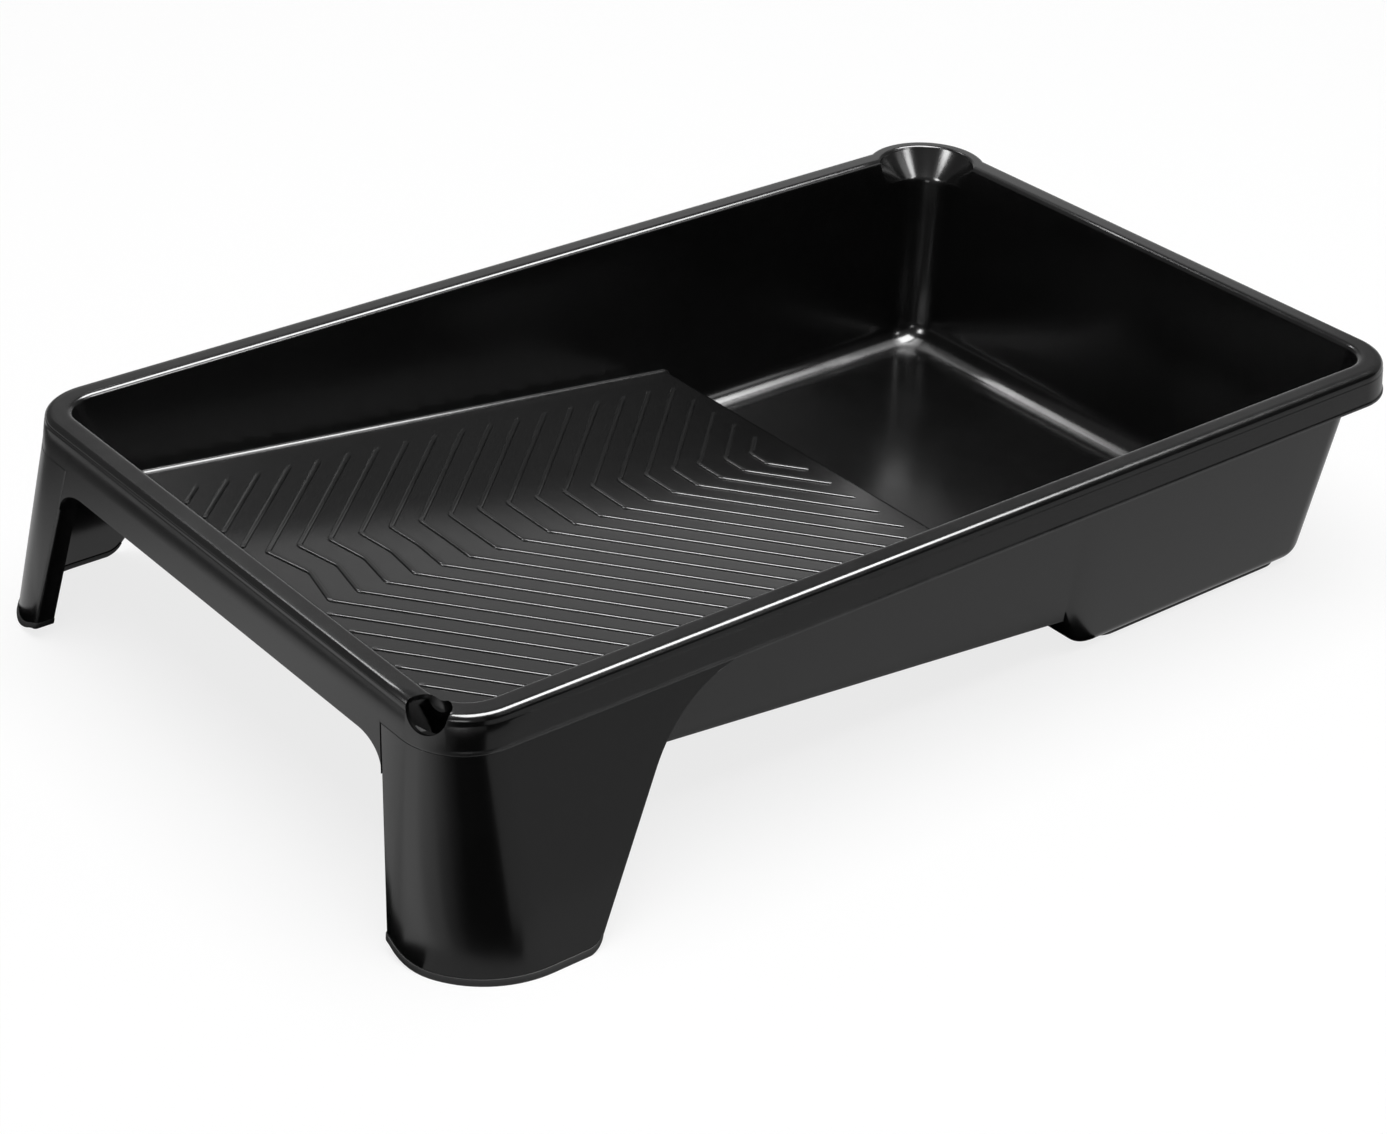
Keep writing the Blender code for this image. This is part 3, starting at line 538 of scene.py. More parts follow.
def cut_hanging_hole(piece):
    """Cut the ball-shaped hole through the flange and the shoulder at the front of the shallow end."""
    ball = bmesh.new()
    bmesh.ops.create_uvsphere(ball, u_segments=HOLE_BALL_STEPS, v_segments=HOLE_BALL_STEPS // 2,
                               radius=HOLE_RADIUS)
    place = at_depth(-HALF_LENGTH + HOLE_FROM_END, -HALF_WIDTH + HOLE_FROM_FRONT, -HOLE_LIFT)
    bmesh.ops.translate(ball, verts=ball.verts, vec=place)
    cutter = make_piece("hanging_hole_ball", ball)
    cut = piece.modifiers.new("hanging_hole", "BOOLEAN")
    cut.object = cutter
    cut.operation = "DIFFERENCE"
    cut.solver = "EXACT"
    bake_modifiers(piece, SHELL_SHARP_ANGLE)
    bpy.data.objects.remove(cutter, do_unlink=True)
    place += TRAY_MIDDLE
    bm = bmesh.new()
    bm.from_mesh(piece.data)
    bmesh.ops.remove_doubles(bm, verts=bm.verts, dist=MERGE_DISTANCE)
    layers = bm.edges.layers.float
    weight = layers.get(BEVEL_LAYER) or layers.new(BEVEL_LAYER)
    for edge in bm.edges:
        edge[weight] = 0.0
        on_ball = all(abs((vert.co - place).length - HOLE_RADIUS) < MERGE_DISTANCE for vert in edge.verts)
        if on_ball and edge.calc_face_angle(0.0) > HOLE_EDGE_ANGLE:
            edge[weight] = 1.0
    bm.to_mesh(piece.data)
    bm.free()
    add_bevel(piece, "hole_rim", "WEIGHT", HOLE_EDGE_ROUND, 3)
    bake_modifiers(piece, SHELL_SHARP_ANGLE)


def linear_colour(hex_colour):
    """Linear RGBA of an sRGB hex colour."""
    channels = [int(hex_colour[start:start + 2], 16) / 255 for start in (1, 3, 5)]
    linear = [c / 12.92 if c <= 0.04045 else ((c + 0.055) / 1.055) ** 2.4 for c in channels]
    return (*linear, 1.0)


def add_node(tree, kind, settings=None, values=None, links=None):
    """Add a node with its settings, its input values and what feeds it: sockets, or nodes' first outputs."""
    node = tree.nodes.new(kind)
    for name, value in (settings or {}).items():
        setattr(node, name, value)
    for name, value in (values or {}).items():
        node.inputs[name].default_value = value
    for name, source in (links or {}).items():
        socket = source.outputs[0] if isinstance(source, bpy.types.Node) else source
        tree.links.new(socket, node.inputs[name])
    return node


def start_material(name):
    """New material and its node tree."""
    material = bpy.data.materials.new(name)
    material.use_nodes = True
    return material, material.node_tree


def dress_plastic(tree, ior, colours, share, rough, bump):
    """Feed a plastic's shader with two colours mixed by a share, a roughness and a bump."""
    shader = tree.nodes["Principled BSDF"]
    shader.inputs["IOR"].default_value = ior
    colour = add_node(tree, "ShaderNodeMix", {"data_type": "RGBA"}, links={"Factor": share})
    colour.inputs[6].default_value, colour.inputs[7].default_value = map(linear_colour, colours)
    tree.links.new(colour.outputs[2], shader.inputs["Base Color"])
    tree.links.new(rough.outputs[0], shader.inputs["Roughness"])
    tree.links.new(bump.outputs[0], shader.inputs["Normal"])


# Moulded polypropylene, dyed black right through: a waxy semi-gloss skin whose mirror is softened by the fine
# grain of the mould, uneven in gloss over a few centimetres where the melt cooled, and paler in scuffed
# patches
# along its sharp edges: wear on the tray, and a painted highlight line on the ribs and legs.
# The real grain is finer, and is drawn at 0.9 mm so that it shows.
POLYPROPYLENE_IOR = 1.49
POLYPROPYLENE_BLACK = "#080808"
GRAIN_SIZE_MM = 0.9
GRAIN_HEIGHT_MM = 0.004
GRAIN_DETAIL = 3.0
SINK_SIZE_MM = 42.0
SINK_DETAIL = 4.0
SCUFF_SIZE_MM = 7.0
SCUFF_DETAIL = 8.0
SCUFF_SHARE = 0.4
GLOSS_RANGE = (0.3, 0.7)
ROUGHNESS_SPREAD = (-0.03, 0.04)
EDGE_WEAR_AND_HIGHLIGHT_POINTINESS = (0.52, 0.58)


def moulded_polypropylene(name, wear_and_highlight_colour, roughness):
    material, tree = start_material(name)
    place = add_node(tree, "ShaderNodeTexCoord").outputs["Object"]
    grain, cooling, scuffs = [
        add_node(tree, "ShaderNodeTexNoise", values={"Scale": 1000.0 / size_mm, "Detail": detail},
                 links={"Vector": place})
        for size_mm, detail in ((GRAIN_SIZE_MM, GRAIN_DETAIL), (SINK_SIZE_MM, SINK_DETAIL),
                                (SCUFF_SIZE_MM, SCUFF_DETAIL))]
    gloss = add_node(tree, "ShaderNodeMix", values={"Factor": SCUFF_SHARE}, links={"A": cooling, "B": scuffs})
    rough = add_node(tree, "ShaderNodeMapRange",
                     values={"From Min": GLOSS_RANGE[0], "From Max": GLOSS_RANGE[1],
                             "To Min": roughness + ROUGHNESS_SPREAD[0],
                             "To Max": roughness + ROUGHNESS_SPREAD[1]},
                     links={"Value": gloss})
    # Pale sharp edges by pointiness, patchy with the scuffs: wear on the tray, a painted highlight line on the
    # ribs and legs.
    edges = add_node(tree, "ShaderNodeMapRange",
                     values={"From Min": EDGE_WEAR_AND_HIGHLIGHT_POINTINESS[0], "From Max": EDGE_WEAR_AND_HIGHLIGHT_POINTINESS[1]},
                     links={"Value": add_node(tree, "ShaderNodeNewGeometry").outputs["Pointiness"]})
    edge_wear_and_highlight = add_node(tree, "ShaderNodeMath", {"operation": "MULTIPLY"}, links={0: edges, 1: scuffs})
    bump = add_node(tree, "ShaderNodeBump", values={"Strength": 1.0, "Distance": GRAIN_HEIGHT_MM / 1000},
                    links={"Height": grain})
    dress_plastic(tree, POLYPROPYLENE_IOR, (POLYPROPYLENE_BLACK, wear_and_highlight_colour), edge_wear_and_highlight, rough, bump)
    return material


tray_basin = make_piece("tray_shell", build_basin_mesh())
add_bevel(tray_basin, "skirt_edge", "WEIGHT", SKIRT_EDGE_ROUND, 2)
cut_hanging_hole(tray_basin)
tray_plastic = moulded_polypropylene("moulded_black_polypropylene", "#3c3c3c", 0.19)
tray_basin.data.materials.clear()
tray_basin.data.materials.append(tray_plastic)
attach(tray_basin, "root")
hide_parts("tray_basin")

# Ramp ribs
# Low ridges moulded with the basin, on which the loaded roller is rolled out. They run in chevrons down the
# ramp, with flat tops, rounded edges and tapered ends so that the moulding comes out of its tool.
RIB_PITCH = 0.0141
RIB_WIDTH = 0.0027
RIB_TOP_WIDTH = 0.0019
RIB_HEIGHT = 0.0015
RIB_ROOT = 0.0007
RIB_EDGE_ROUND = 0.0006
RIB_BEND_ROUND = 0.0008
RIB_END_TAPER = 0.0012
RIB_STEP = 0.0016
RIB_EDGE_MARGIN = 0.010
RIB_END_MARGIN = 0.0285
RIB_WALL_MARGIN = 0.020
RIB_SHORTEST = 0.0045
RIB_FIRST_APEX_GAP = 0.0228
RIB_APEX_BACK = 0.0415
RIB_APEX_FRONT = 0.0305
RIB_APEX_BACK_TAPER = 0.037
RIB_APEX_FRONT_TAPER = 0.107
RIB_KNUCKLE = 0.0062
RIB_KNUCKLE_SPAN = 0.082
RIB_END_SHARE = 0.62
RIB_ROUND_STEPS = 3
RIB_SHARP_ANGLE = math.radians(60.0)
RIB_SIZES = {"Root Width": RIB_WIDTH, "Top Width": RIB_TOP_WIDTH, "Height": RIB_HEIGHT + RIB_ROOT,
             "Lift": (RIB_HEIGHT - RIB_ROOT) / 2, "Edge Round": RIB_EDGE_ROUND,
             "Bend Round": RIB_BEND_ROUND, "End Taper": RIB_END_TAPER, "Step": RIB_STEP}


def rib_lines():
    """Centre lines of the chevrons in plan: two slanted runs and a short link, clipped to the rib field."""
    low_x = -HALF_LENGTH + wall_line(END_DRAFT, ramp_depth(-HALF_LENGTH)) + RIB_END_MARGIN
    high_x = RAMP_EDGE_X - RIB_EDGE_MARGIN
    high_y = HALF_WIDTH - wall_line(SIDE_DRAFT, ramp_depth(low_x)) - RIB_WALL_MARGIN
    first_apex = RAMP_EDGE_X - RIB_FIRST_APEX_GAP
    lines = []
    for index in range(int((first_apex - low_x + 2 * high_y) / RIB_PITCH)):
        apex_x = first_apex - index * RIB_PITCH
        back_y = RIB_APEX_BACK + RIB_APEX_BACK_TAPER * (first_apex - apex_x)
        front_y = RIB_APEX_FRONT - RIB_APEX_FRONT_TAPER * (first_apex - apex_x)
        hidden = max(low_x - apex_x, 0.0)
        back_run = min(high_x - apex_x, high_y - back_y)
        front_run = min(high_x - apex_x, front_y + high_y)
        back = [(apex_x + back_run, back_y + back_run), (apex_x + hidden, back_y + hidden)]
        front = [(apex_x + hidden, front_y - hidden), (apex_x + front_run, front_y - front_run)]
        if hidden == 0.0:
            bow = RIB_KNUCKLE * max(1.0 - (apex_x - low_x) / RIB_KNUCKLE_SPAN, 0.0)
            lines.append(back + [(apex_x + bow, (back_y + front_y) / 2)] + front)
            continue
        if back_run > hidden + RIB_SHORTEST:
            lines.append(back)
        if front_run > hidden + RIB_SHORTEST:
            lines.append(front)
    return lines


def build_rib_lines():
    """The centre lines as loose edges lying on the ramp."""
    bm = bmesh.new()
    for line in rib_lines():
        verts = [bm.verts.new(at_depth(x, y, ramp_depth(x))) for x, y in line]
        for here, there in zip(verts, verts[1:]):
            bm.edges.new((here, there))
    return bm


def rib_sweep_tree(material):
    """Sweep a rounded trapezium along each centre line, drawn in at both of its ends."""
    tree = bpy.data.node_groups.new("ramp_rib_sweep", "GeometryNodeTree")
    tree.interface.new_socket("Centre Lines", in_out="INPUT", socket_type="NodeSocketGeometry")
    for name in RIB_SIZES:
        tree.interface.new_socket(name, in_out="INPUT", socket_type="NodeSocketFloat")
    tree.interface.new_socket("Ribs", in_out="OUTPUT", socket_type="NodeSocketGeometry")
    size = add_node(tree, "NodeGroupInput").outputs
    lines = add_node(tree, "GeometryNodeMeshToCurve", links={"Mesh": size["Centre Lines"]})
    bends = add_node(tree, "GeometryNodeFilletCurve", {"mode": "POLY"}, {"Count": RIB_ROUND_STEPS},
                     {"Curve": lines, "Radius": size["Bend Round"]})
    steps = add_node(tree, "GeometryNodeResampleCurve", {"mode": "LENGTH"},
                     links={"Curve": bends, "Length": size["Step"]})
    upright = add_node(tree, "GeometryNodeSetCurveNormal", {"mode": "Z_UP"}, links={"Curve": steps})
    along = add_node(tree, "GeometryNodeSplineParameter").outputs["Length"]
    whole = add_node(tree, "GeometryNodeSplineLength").outputs["Length"]
    left = add_node(tree, "ShaderNodeMath", {"operation": "SUBTRACT"}, links={0: whole, 1: along})
    nearest = add_node(tree, "ShaderNodeMath", {"operation": "MINIMUM"}, links={0: along, 1: left})
    share = add_node(tree, "ShaderNodeMath", {"operation": "DIVIDE", "use_clamp": True},
                     links={0: nearest, 1: size["End Taper"]})
    taper = add_node(tree, "ShaderNodeMapRange", values={"To Min": RIB_END_SHARE},
                     links={"Value": share})
    drawn = add_node(tree, "GeometryNodeSetCurveRadius",
                     links={"Curve": upright, "Radius": taper})
    section = add_node(tree, "GeometryNodeCurvePrimitiveQuadrilateral", {"mode": "TRAPEZOID"},
                       {"Offset": 0.0}, {"Bottom Width": size["Root Width"], "Top Width": size["Top Width"],
                                         "Height": size["Height"]})
    soft = add_node(tree, "GeometryNodeFilletCurve", {"mode": "POLY"}, {"Count": RIB_ROUND_STEPS},
                    {"Curve": section, "Radius": size["Edge Round"]})
    offset = add_node(tree, "ShaderNodeCombineXYZ", links={"Y": size["Lift"]})
    raised = add_node(tree, "GeometryNodeTransform",
                      links={"Geometry": soft, "Translation": offset})
    sweep = add_node(tree, "GeometryNodeCurveToMesh", values={"Fill Caps": True},
                     links={"Curve": drawn, "Profile Curve": raised})
    if "Scale" in sweep.inputs:
        tree.links.new(taper.outputs[0], sweep.inputs["Scale"])
    real = add_node(tree, "GeometryNodeRealizeInstances", links={"Geometry": sweep})
    dressed = add_node(tree, "GeometryNodeSetMaterial", values={"Material": material},
                       links={"Geometry": real})
    add_node(tree, "NodeGroupOutput", links={"Ribs": dressed})
    return tree


# The same plastic, polished by the roller to a little more gloss, with a paler colour painted on its edges as
# a highlight, which shows as thin light lines.
rib_plastic = moulded_polypropylene("roller_polished_polypropylene_painted_highlight", "#4a4a4a", 0.17)
ramp_ribs = make_piece("ramp_ribs", build_rib_lines())
rib_sweep = ramp_ribs.modifiers.new("rib_sweep", "NODES")
rib_sweep.node_group = rib_sweep_tree(rib_plastic)
for socket in rib_sweep.node_group.interface.items_tree:
    if socket.name in RIB_SIZES:
        rib_sweep[socket.identifier] = RIB_SIZES[socket.name]
bake_modifiers(ramp_ribs, RIB_SHARP_ANGLE)
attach(ramp_ribs, "root")

# Legs
# Two corner shells in the same black polypropylene that lift the shallow end. Each hangs below the skirt, held
# by a tongue pushed up behind it, splays out to the floor and turns back inwards along its arch edge.
LEG_SIDE_SPLAY = math.radians(15.6)
LEG_BOTTOM_RADIUS = 0.041
LEG_PROUD = 0.0003
LEG_TRAIL_AT_FLOOR = 0.0476
LEG_TRAIL_LEAN = math.radians(33.6)
LEG_TRAIL_FILLET = 0.062
LEG_TRAIL_LEVEL = 0.0007
LEG_TOE_RADIUS = 0.008
HEEL_LIFT = 0.005
HEEL_EASE = 0.022
HEEL_POWER = 2.5
HEEL_REACH = 0.03
LEG_RETURN = 0.0085
LEG_RETURN_ROUND = 0.0014
LEG_EDGE_ROUND = 0.0005
LEG_EDGE_BORDER = 0.0009
TONGUE_HEIGHT = 0.0045
TONGUE_RETURN = 0.003
FOOT_SOLE = 0.0014
LEG_BOTTOM_DEPTH = RIM_TOP - FOOT_SOLE - FIT_CLEARANCE
TRAIL_LEVEL_DEPTH = SKIRT_DEPTH - LEG_TRAIL_LEVEL
LEG_HALF_TURN = (math.pi / 2 - LEG_TRAIL_LEAN) / 2
LEAST_RETURN_ROUND = 0.0002
CRISP_ANGLE = math.radians(50.0)
LEG_SHARP_ANGLE = math.radians(40.0)
TOE_STEPS = 8
TRAIL_STEPS = 20
RETURN_STEPS = 4


def leg_trail(depth):
    """Distance of the leg's trailing edge from the shallow end of the rim at a depth."""
    lean = math.tan(LEG_TRAIL_LEAN)
    tangent = LEG_TRAIL_FILLET * math.tan(LEG_HALF_TURN)
    if depth < TRAIL_LEVEL_DEPTH + tangent * math.cos(LEG_TRAIL_LEAN):
        centre = LEG_TRAIL_AT_FLOOR + lean * (LEG_BOTTOM_DEPTH - TRAIL_LEVEL_DEPTH) + tangent
        rise = TRAIL_LEVEL_DEPTH + LEG_TRAIL_FILLET - depth
        return centre - math.sqrt(max(LEG_TRAIL_FILLET ** 2 - rise ** 2, 0.0))
    if depth > LEG_BOTTOM_DEPTH - LEG_TOE_RADIUS * (1.0 - math.sin(LEG_TRAIL_LEAN)):
        tangent = LEG_TOE_RADIUS * math.tan(LEG_HALF_TURN)
        rise = depth - (LEG_BOTTOM_DEPTH - LEG_TOE_RADIUS)
        return LEG_TRAIL_AT_FLOOR - tangent + math.sqrt(max(LEG_TOE_RADIUS ** 2 - rise ** 2, 0.0))
    return LEG_TRAIL_AT_FLOOR + lean * (LEG_BOTTOM_DEPTH - depth)


def leg_edge(depth):
    """Distance of the leg's arch edge from the middle of the tray at a depth."""
    return HALF_WIDTH - LEG_EDGE_INSET + math.tan(LEG_EDGE_TAPER) * (depth - SKIRT_DEPTH)


def corner_row(end_x, side_y, radius, edge_y, tip_x, trail_x, depth, side, inset):
    """One row round a leg, from the tip of its return to its trailing edge; side is -1 front, 1 rear."""
    turned = max(LEG_RETURN_ROUND - inset, LEAST_RETURN_ROUND)
    edge_y = min(edge_y, side_y - radius - turned - FIT_CLEARANCE)
    places = [(tip_x, edge_y)]
    for turn in quarter_turns(RETURN_STEPS):
        places.append((end_x + turned * (1.0 - math.sin(turn)), edge_y + turned * (1.0 - math.cos(turn))))
    for turn in quarter_turns(CORNER_STEPS):
        places.append((end_x + radius * (1.0 - math.cos(turn)), side_y - radius * (1.0 - math.sin(turn))))
    places.append((trail_x - LEG_EDGE_BORDER, side_y))
    places.append((trail_x, side_y))
    return [at_depth(x, side * y, depth) for x, y in places]


def leg_side_y(depth, inset):
    """Distance of the leg's splayed side from the middle of the tray."""
    splay = math.tan(LEG_SIDE_SPLAY) * (depth - SKIRT_DEPTH)
    return HALF_WIDTH - skirt_inset(SKIRT_FLARE, SKIRT_DEPTH) + splay + LEG_PROUD - inset


def level_leg_row(depth, inset, side, trail_x=None):
    """Level row on the leg's outer face, moved inward by the inset."""
    top_inset = skirt_inset(SKIRT_FLARE, SKIRT_DEPTH)
    side_y = leg_side_y(depth, inset)
    face_x = -HALF_LENGTH + skirt_inset(END_FLARE, depth) - LEG_PROUD
    top_radius = RIM_CORNER_RADIUS - top_inset + LEG_PROUD
    share = (depth - SKIRT_DEPTH) / (RIM_TOP - SKIRT_DEPTH)
    radius = top_radius + (LEG_BOTTOM_RADIUS - top_radius) * share - inset
    if trail_x is None:
        trail_x = -HALF_LENGTH + leg_trail(depth)
    edge_y = leg_edge(depth) + inset
    tip_x = face_x + LEG_RETURN
    return corner_row(face_x + inset, side_y, radius, edge_y, tip_x, trail_x, depth, side, inset)


def leg_row(depth, inset, side, trail_x=None, lifted=None):
    """The same row with its arch end lifted towards the sole, where the heel is rounded off."""
    if lifted is None:
        lifted = max(1.0 - (LEG_BOTTOM_DEPTH - depth) / HEEL_REACH, 0.0) ** 2
    level = level_leg_row(depth, inset, side, trail_x)
    row = []
    travelled = 0.0
    for index, point in enumerate(level):
        if index > RETURN_STEPS + 1:
            travelled += (point - level[index - 1]).length
        lift = lifted * HEEL_LIFT * max(1.0 - travelled / HEEL_EASE, 0.0) ** HEEL_POWER
        row.append(level_leg_row(depth - lift, inset, side, trail_x)[index] if lift > 0.0 else point)
    return row


def tongue_row(depth, seat, inset, side):
    """Row on the tongue, which stands inside the skirt of the rim."""
    side_inset = skirt_inset(SKIRT_FLARE, depth) + seat + inset
    end_x = -HALF_LENGTH + skirt_inset(END_FLARE, depth) + seat + inset
    trail_x = -HALF_LENGTH + leg_trail(SKIRT_DEPTH + 2 * WALL_THICKNESS)
    edge_y = leg_edge(max(depth, SKIRT_DEPTH)) + inset
    tip_x = end_x - inset + TONGUE_RETURN
    radius = RIM_CORNER_RADIUS - side_inset
    return corner_row(end_x, HALF_WIDTH - side_inset, radius, edge_y, tip_x, trail_x, depth, side, inset)


def leg_depths():
    """Depths of the rows of a leg, from the floor end up: toe, straight edge, trailing curve."""
    curve = LEG_TRAIL_FILLET * math.tan(LEG_HALF_TURN) * math.cos(LEG_TRAIL_LEAN)
    top = SKIRT_DEPTH + SEAM_GAP
    depths = [LEG_BOTTOM_DEPTH - LEG_TOE_RADIUS * (step / TOE_STEPS) ** 2 for step in range(TOE_STEPS + 1)]
    for step in range(TRAIL_STEPS + 1):
        depths.append(top + (TRAIL_LEVEL_DEPTH + curve - top) * (1.0 - step / TRAIL_STEPS) ** 2)
    return depths


def loft_closed_rows(rows):
    """Skin a closed loop of rows and close both ends between the matching outer and inner rows."""
    bm = bmesh.new()
    verts = [[bm.verts.new(point) for point in row] for row in rows]
    count = len(verts)
    for index in range(count):
        here = verts[index]
        there = verts[(index + 1) % count]
        for step in range(len(here) - 1):
            bm.faces.new([here[step], here[step + 1], there[step + 1], there[step]])
    for end in (0, -1):
        for index in range(count // 2 - 1):
            partner = count - 1 - index
            bm.faces.new([verts[place][end] for place in (index, index + 1, partner - 1, partner)])
    return bm


def build_leg_mesh(side):
    """Outer rows up to the tongue, then the matching inner rows one wall thickness inside."""
    depths = leg_depths()
    seat = WALL_THICKNESS + FIT_CLEARANCE
    top = depths[-1]
    curve_end = depths[-1 - TRAIL_STEPS]
    outer = []
    inner = []
    for depth in depths:
        share = min((depth - top) / (curve_end - top), 1.0)
        outer.append(leg_row(depth, 0.0, side))
        inner.append(leg_row(depth + WALL_THICKNESS * (1.0 - share), WALL_THICKNESS, side))
    for depth, drop in ((top, WALL_THICKNESS), (SKIRT_DEPTH - TONGUE_HEIGHT, 0.0)):
        outer.append(tongue_row(depth, seat, 0.0, side))
        inner.append(tongue_row(depth + drop, seat, WALL_THICKNESS, side))
    return loft_closed_rows(outer + inner[::-1])


def soften_edges(piece, width):
    """Round off the crisp edges, as the mould's own radii do."""
    add_bevel(piece, "edge_rounds", "ANGLE", width, 3).angle_limit = CRISP_ANGLE
    bake_modifiers(piece, LEG_SHARP_ANGLE)


# The same plastic, with a paler colour painted along its sharp edges as a highlight, so that they show as
# light hairlines.
leg_plastic = moulded_polypropylene("leg_polypropylene_painted_highlight", "#707070", 0.19)
for leg_name, leg_side in (("front_leg", -1), ("rear_leg", 1)):
    leg = make_piece(leg_name + "_shell", build_leg_mesh(leg_side))
    soften_edges(leg, LEG_EDGE_ROUND)
    leg.data.materials.append(leg_plastic)
    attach(leg, "root")
    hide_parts(leg_name)

# Leg feet
# Narrow strips of matt black thermoplastic elastomer, extruded with a U section and pushed on over the lower
# edge of each leg, where they show as a thin dark band and keep the tray from sliding.
FOOT_PROUD = 0.0004
FOOT_BAND = 0.0025
FOOT_EDGE_ROUND = 0.00018
FOOT_TOE_STEPS = 10
ELASTOMER_IOR = 1.48
ELASTOMER_GRAIN_MM = 0.6
ELASTOMER_GRAIN_HEIGHT_MM = 0.03
ELASTOMER_DETAIL = 4.0
ELASTOMER_BUMP = 0.6
ELASTOMER_ROUGHNESS = (0.55, 0.8)


def foot_row(inset, height, side):
    """Row of the strip along the sole, round the heel and up round the toe."""
    centre_x = -HALF_LENGTH + LEG_TRAIL_AT_FLOOR - LEG_TOE_RADIUS * math.tan(LEG_HALF_TURN)
    centre_depth = LEG_BOTTOM_DEPTH - LEG_TOE_RADIUS
    reach = RIM_TOP - height - centre_depth
    row = leg_row(RIM_TOP - height, inset, side, centre_x, 1.0)[:-1]
    for step in range(FOOT_TOE_STEPS + 1):
        share = step / FOOT_TOE_STEPS
        turn = (math.pi / 2 - LEG_TRAIL_LEAN) * share
        radius = reach + (LEG_TOE_RADIUS - reach) * share * (1.0 if reach > LEG_TOE_RADIUS else 0.0)
        depth = centre_depth + radius * math.cos(turn)
        side_y = leg_side_y(depth, max(inset, inset * (1.0 - share)))
        row.append(at_depth(centre_x + radius * math.sin(turn), side * side_y, depth))
    return row


def build_leg_foot_mesh(side):
    outside = -FOOT_PROUD
    inside = WALL_THICKNESS + FOOT_PROUD
    play = SEAM_GAP / 3
    section = [(-play, FOOT_BAND), (outside, FOOT_BAND), (outside - SEAM_GAP, FOOT_SOLE / 2), (outside, 0.0),
               (inside, 0.0), (inside, FOOT_BAND), (WALL_THICKNESS + play, FOOT_BAND),
               (WALL_THICKNESS + play, FOOT_SOLE), (-play, FOOT_SOLE)]
    return loft_closed_rows([foot_row(inset, height, side) for inset, height in section])


def matt_elastomer(name, black, dusty):
    """Soft elastomer: dull and fine-grained, with a little pale dust held in its grain."""
    material, tree = start_material(name)
    grain = add_node(tree, "ShaderNodeTexNoise",
                     values={"Scale": 1000.0 / ELASTOMER_GRAIN_MM, "Detail": ELASTOMER_DETAIL},
                     links={"Vector": add_node(tree, "ShaderNodeTexCoord").outputs["Object"]})
    rough = add_node(tree, "ShaderNodeMapRange",
                     values={"To Min": ELASTOMER_ROUGHNESS[0], "To Max": ELASTOMER_ROUGHNESS[1]},
                     links={"Value": grain})
    bump = add_node(tree, "ShaderNodeBump",
                    values={"Strength": ELASTOMER_BUMP, "Distance": ELASTOMER_GRAIN_HEIGHT_MM / 1000},
                    links={"Height": grain})
    dress_plastic(tree, ELASTOMER_IOR, (black, dusty), grain, rough, bump)
    return material


foot_rubber = matt_elastomer("matt_black_elastomer", "#060606", "#101010")
for foot_name, foot_side in (("front_leg_foot", -1), ("rear_leg_foot", 1)):
    foot = make_piece(foot_name + "_strip", build_leg_foot_mesh(foot_side))
    soften_edges(foot, FOOT_EDGE_ROUND)
    foot.data.materials.append(foot_rubber)
    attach(foot, "root")
    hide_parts(foot_name)

# Well foot ring
# A flat ring of the same elastomer bonded under the well floor, which carries the deep end of the tray. Only
# its edge shows, as a dark line below the wall.
RING_THICKNESS = ring_high.z
RING_WIDTH = 0.008
RING_OVERHANG = 0.0015
RING_EDGE_ROUND = 0.0005
RING_CORNER_RADIUS = RING_WIDTH * 1.5


def ring_loop(bm, inset, height):
    """Rounded outline under the flat well floor, as a closed list of vertices."""
    under_depth = WELL_DEPTH + WALL_THICKNESS
    flat_side = wall_profile(SIDE_DRAFT, under_depth, UNDER_FILLET_SIDE, WALL_THICKNESS)[-1][0]
    flat_end = wall_profile(END_DRAFT, under_depth, UNDER_FILLET_END, WALL_THICKNESS)[-1][0]
    low_x = RAMP_EDGE_X + DROP_LENGTH + inset
    high_x = HALF_LENGTH - flat_end + RING_OVERHANG - inset
    high_y = HALF_WIDTH - flat_side + RING_OVERHANG - inset
    radius = RING_CORNER_RADIUS - inset
    loop = []
    for quarter, (sign_x, sign_y) in enumerate(((1, 1), (-1, 1), (-1, -1), (1, -1))):
        centre_x = high_x - radius if sign_x > 0 else low_x + radius
        centre_y = sign_y * (high_y - radius)
        for step in range(CORNER_STEPS + 1):
            turn = math.pi / 2 * (quarter + step / CORNER_STEPS)
            place = (centre_x + radius * math.cos(turn), centre_y + radius * math.sin(turn), height)
            loop.append(bm.verts.new(place))
    return loop


def build_ring_mesh():
    bm = bmesh.new()
    section = [(0.0, 0.0), (0.0, RING_THICKNESS), (RING_WIDTH, RING_THICKNESS), (RING_WIDTH, 0.0)]
    loops = [ring_loop(bm, inset, height) for inset, height in section]
    count = len(loops[0])
    for here, there in zip(loops, loops[1:] + loops[:1]):
        for step in range(count):
            following = (step + 1) % count
            bm.faces.new([here[step], here[following], there[following], there[step]])
    return bm


well_ring = make_piece("well_ring", build_ring_mesh())
soften_edges(well_ring, RING_EDGE_ROUND)
well_ring.data.materials.append(foot_rubber)
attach(well_ring, "root")
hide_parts("well_foot_ring")

# Studio
# A plain white sweep. A soft ceiling lights it evenly, and boxes and flags that only the gloss sees draw the
# reflections: white lines along the rim, a pale ramp and flange, and black bands round the leg's corner.
FLOOR_SIZE = 14.0
FLOOR_WHITE = "#fafafa"
FLOOR_GLOW = 0.8
FLOOR_ROUGHNESS = 0.9
FLOOR_SPECULAR = 0.1
WHITE = (1.0, 1.0, 1.0, 1.0)
AIR_STRENGTH = 0.25


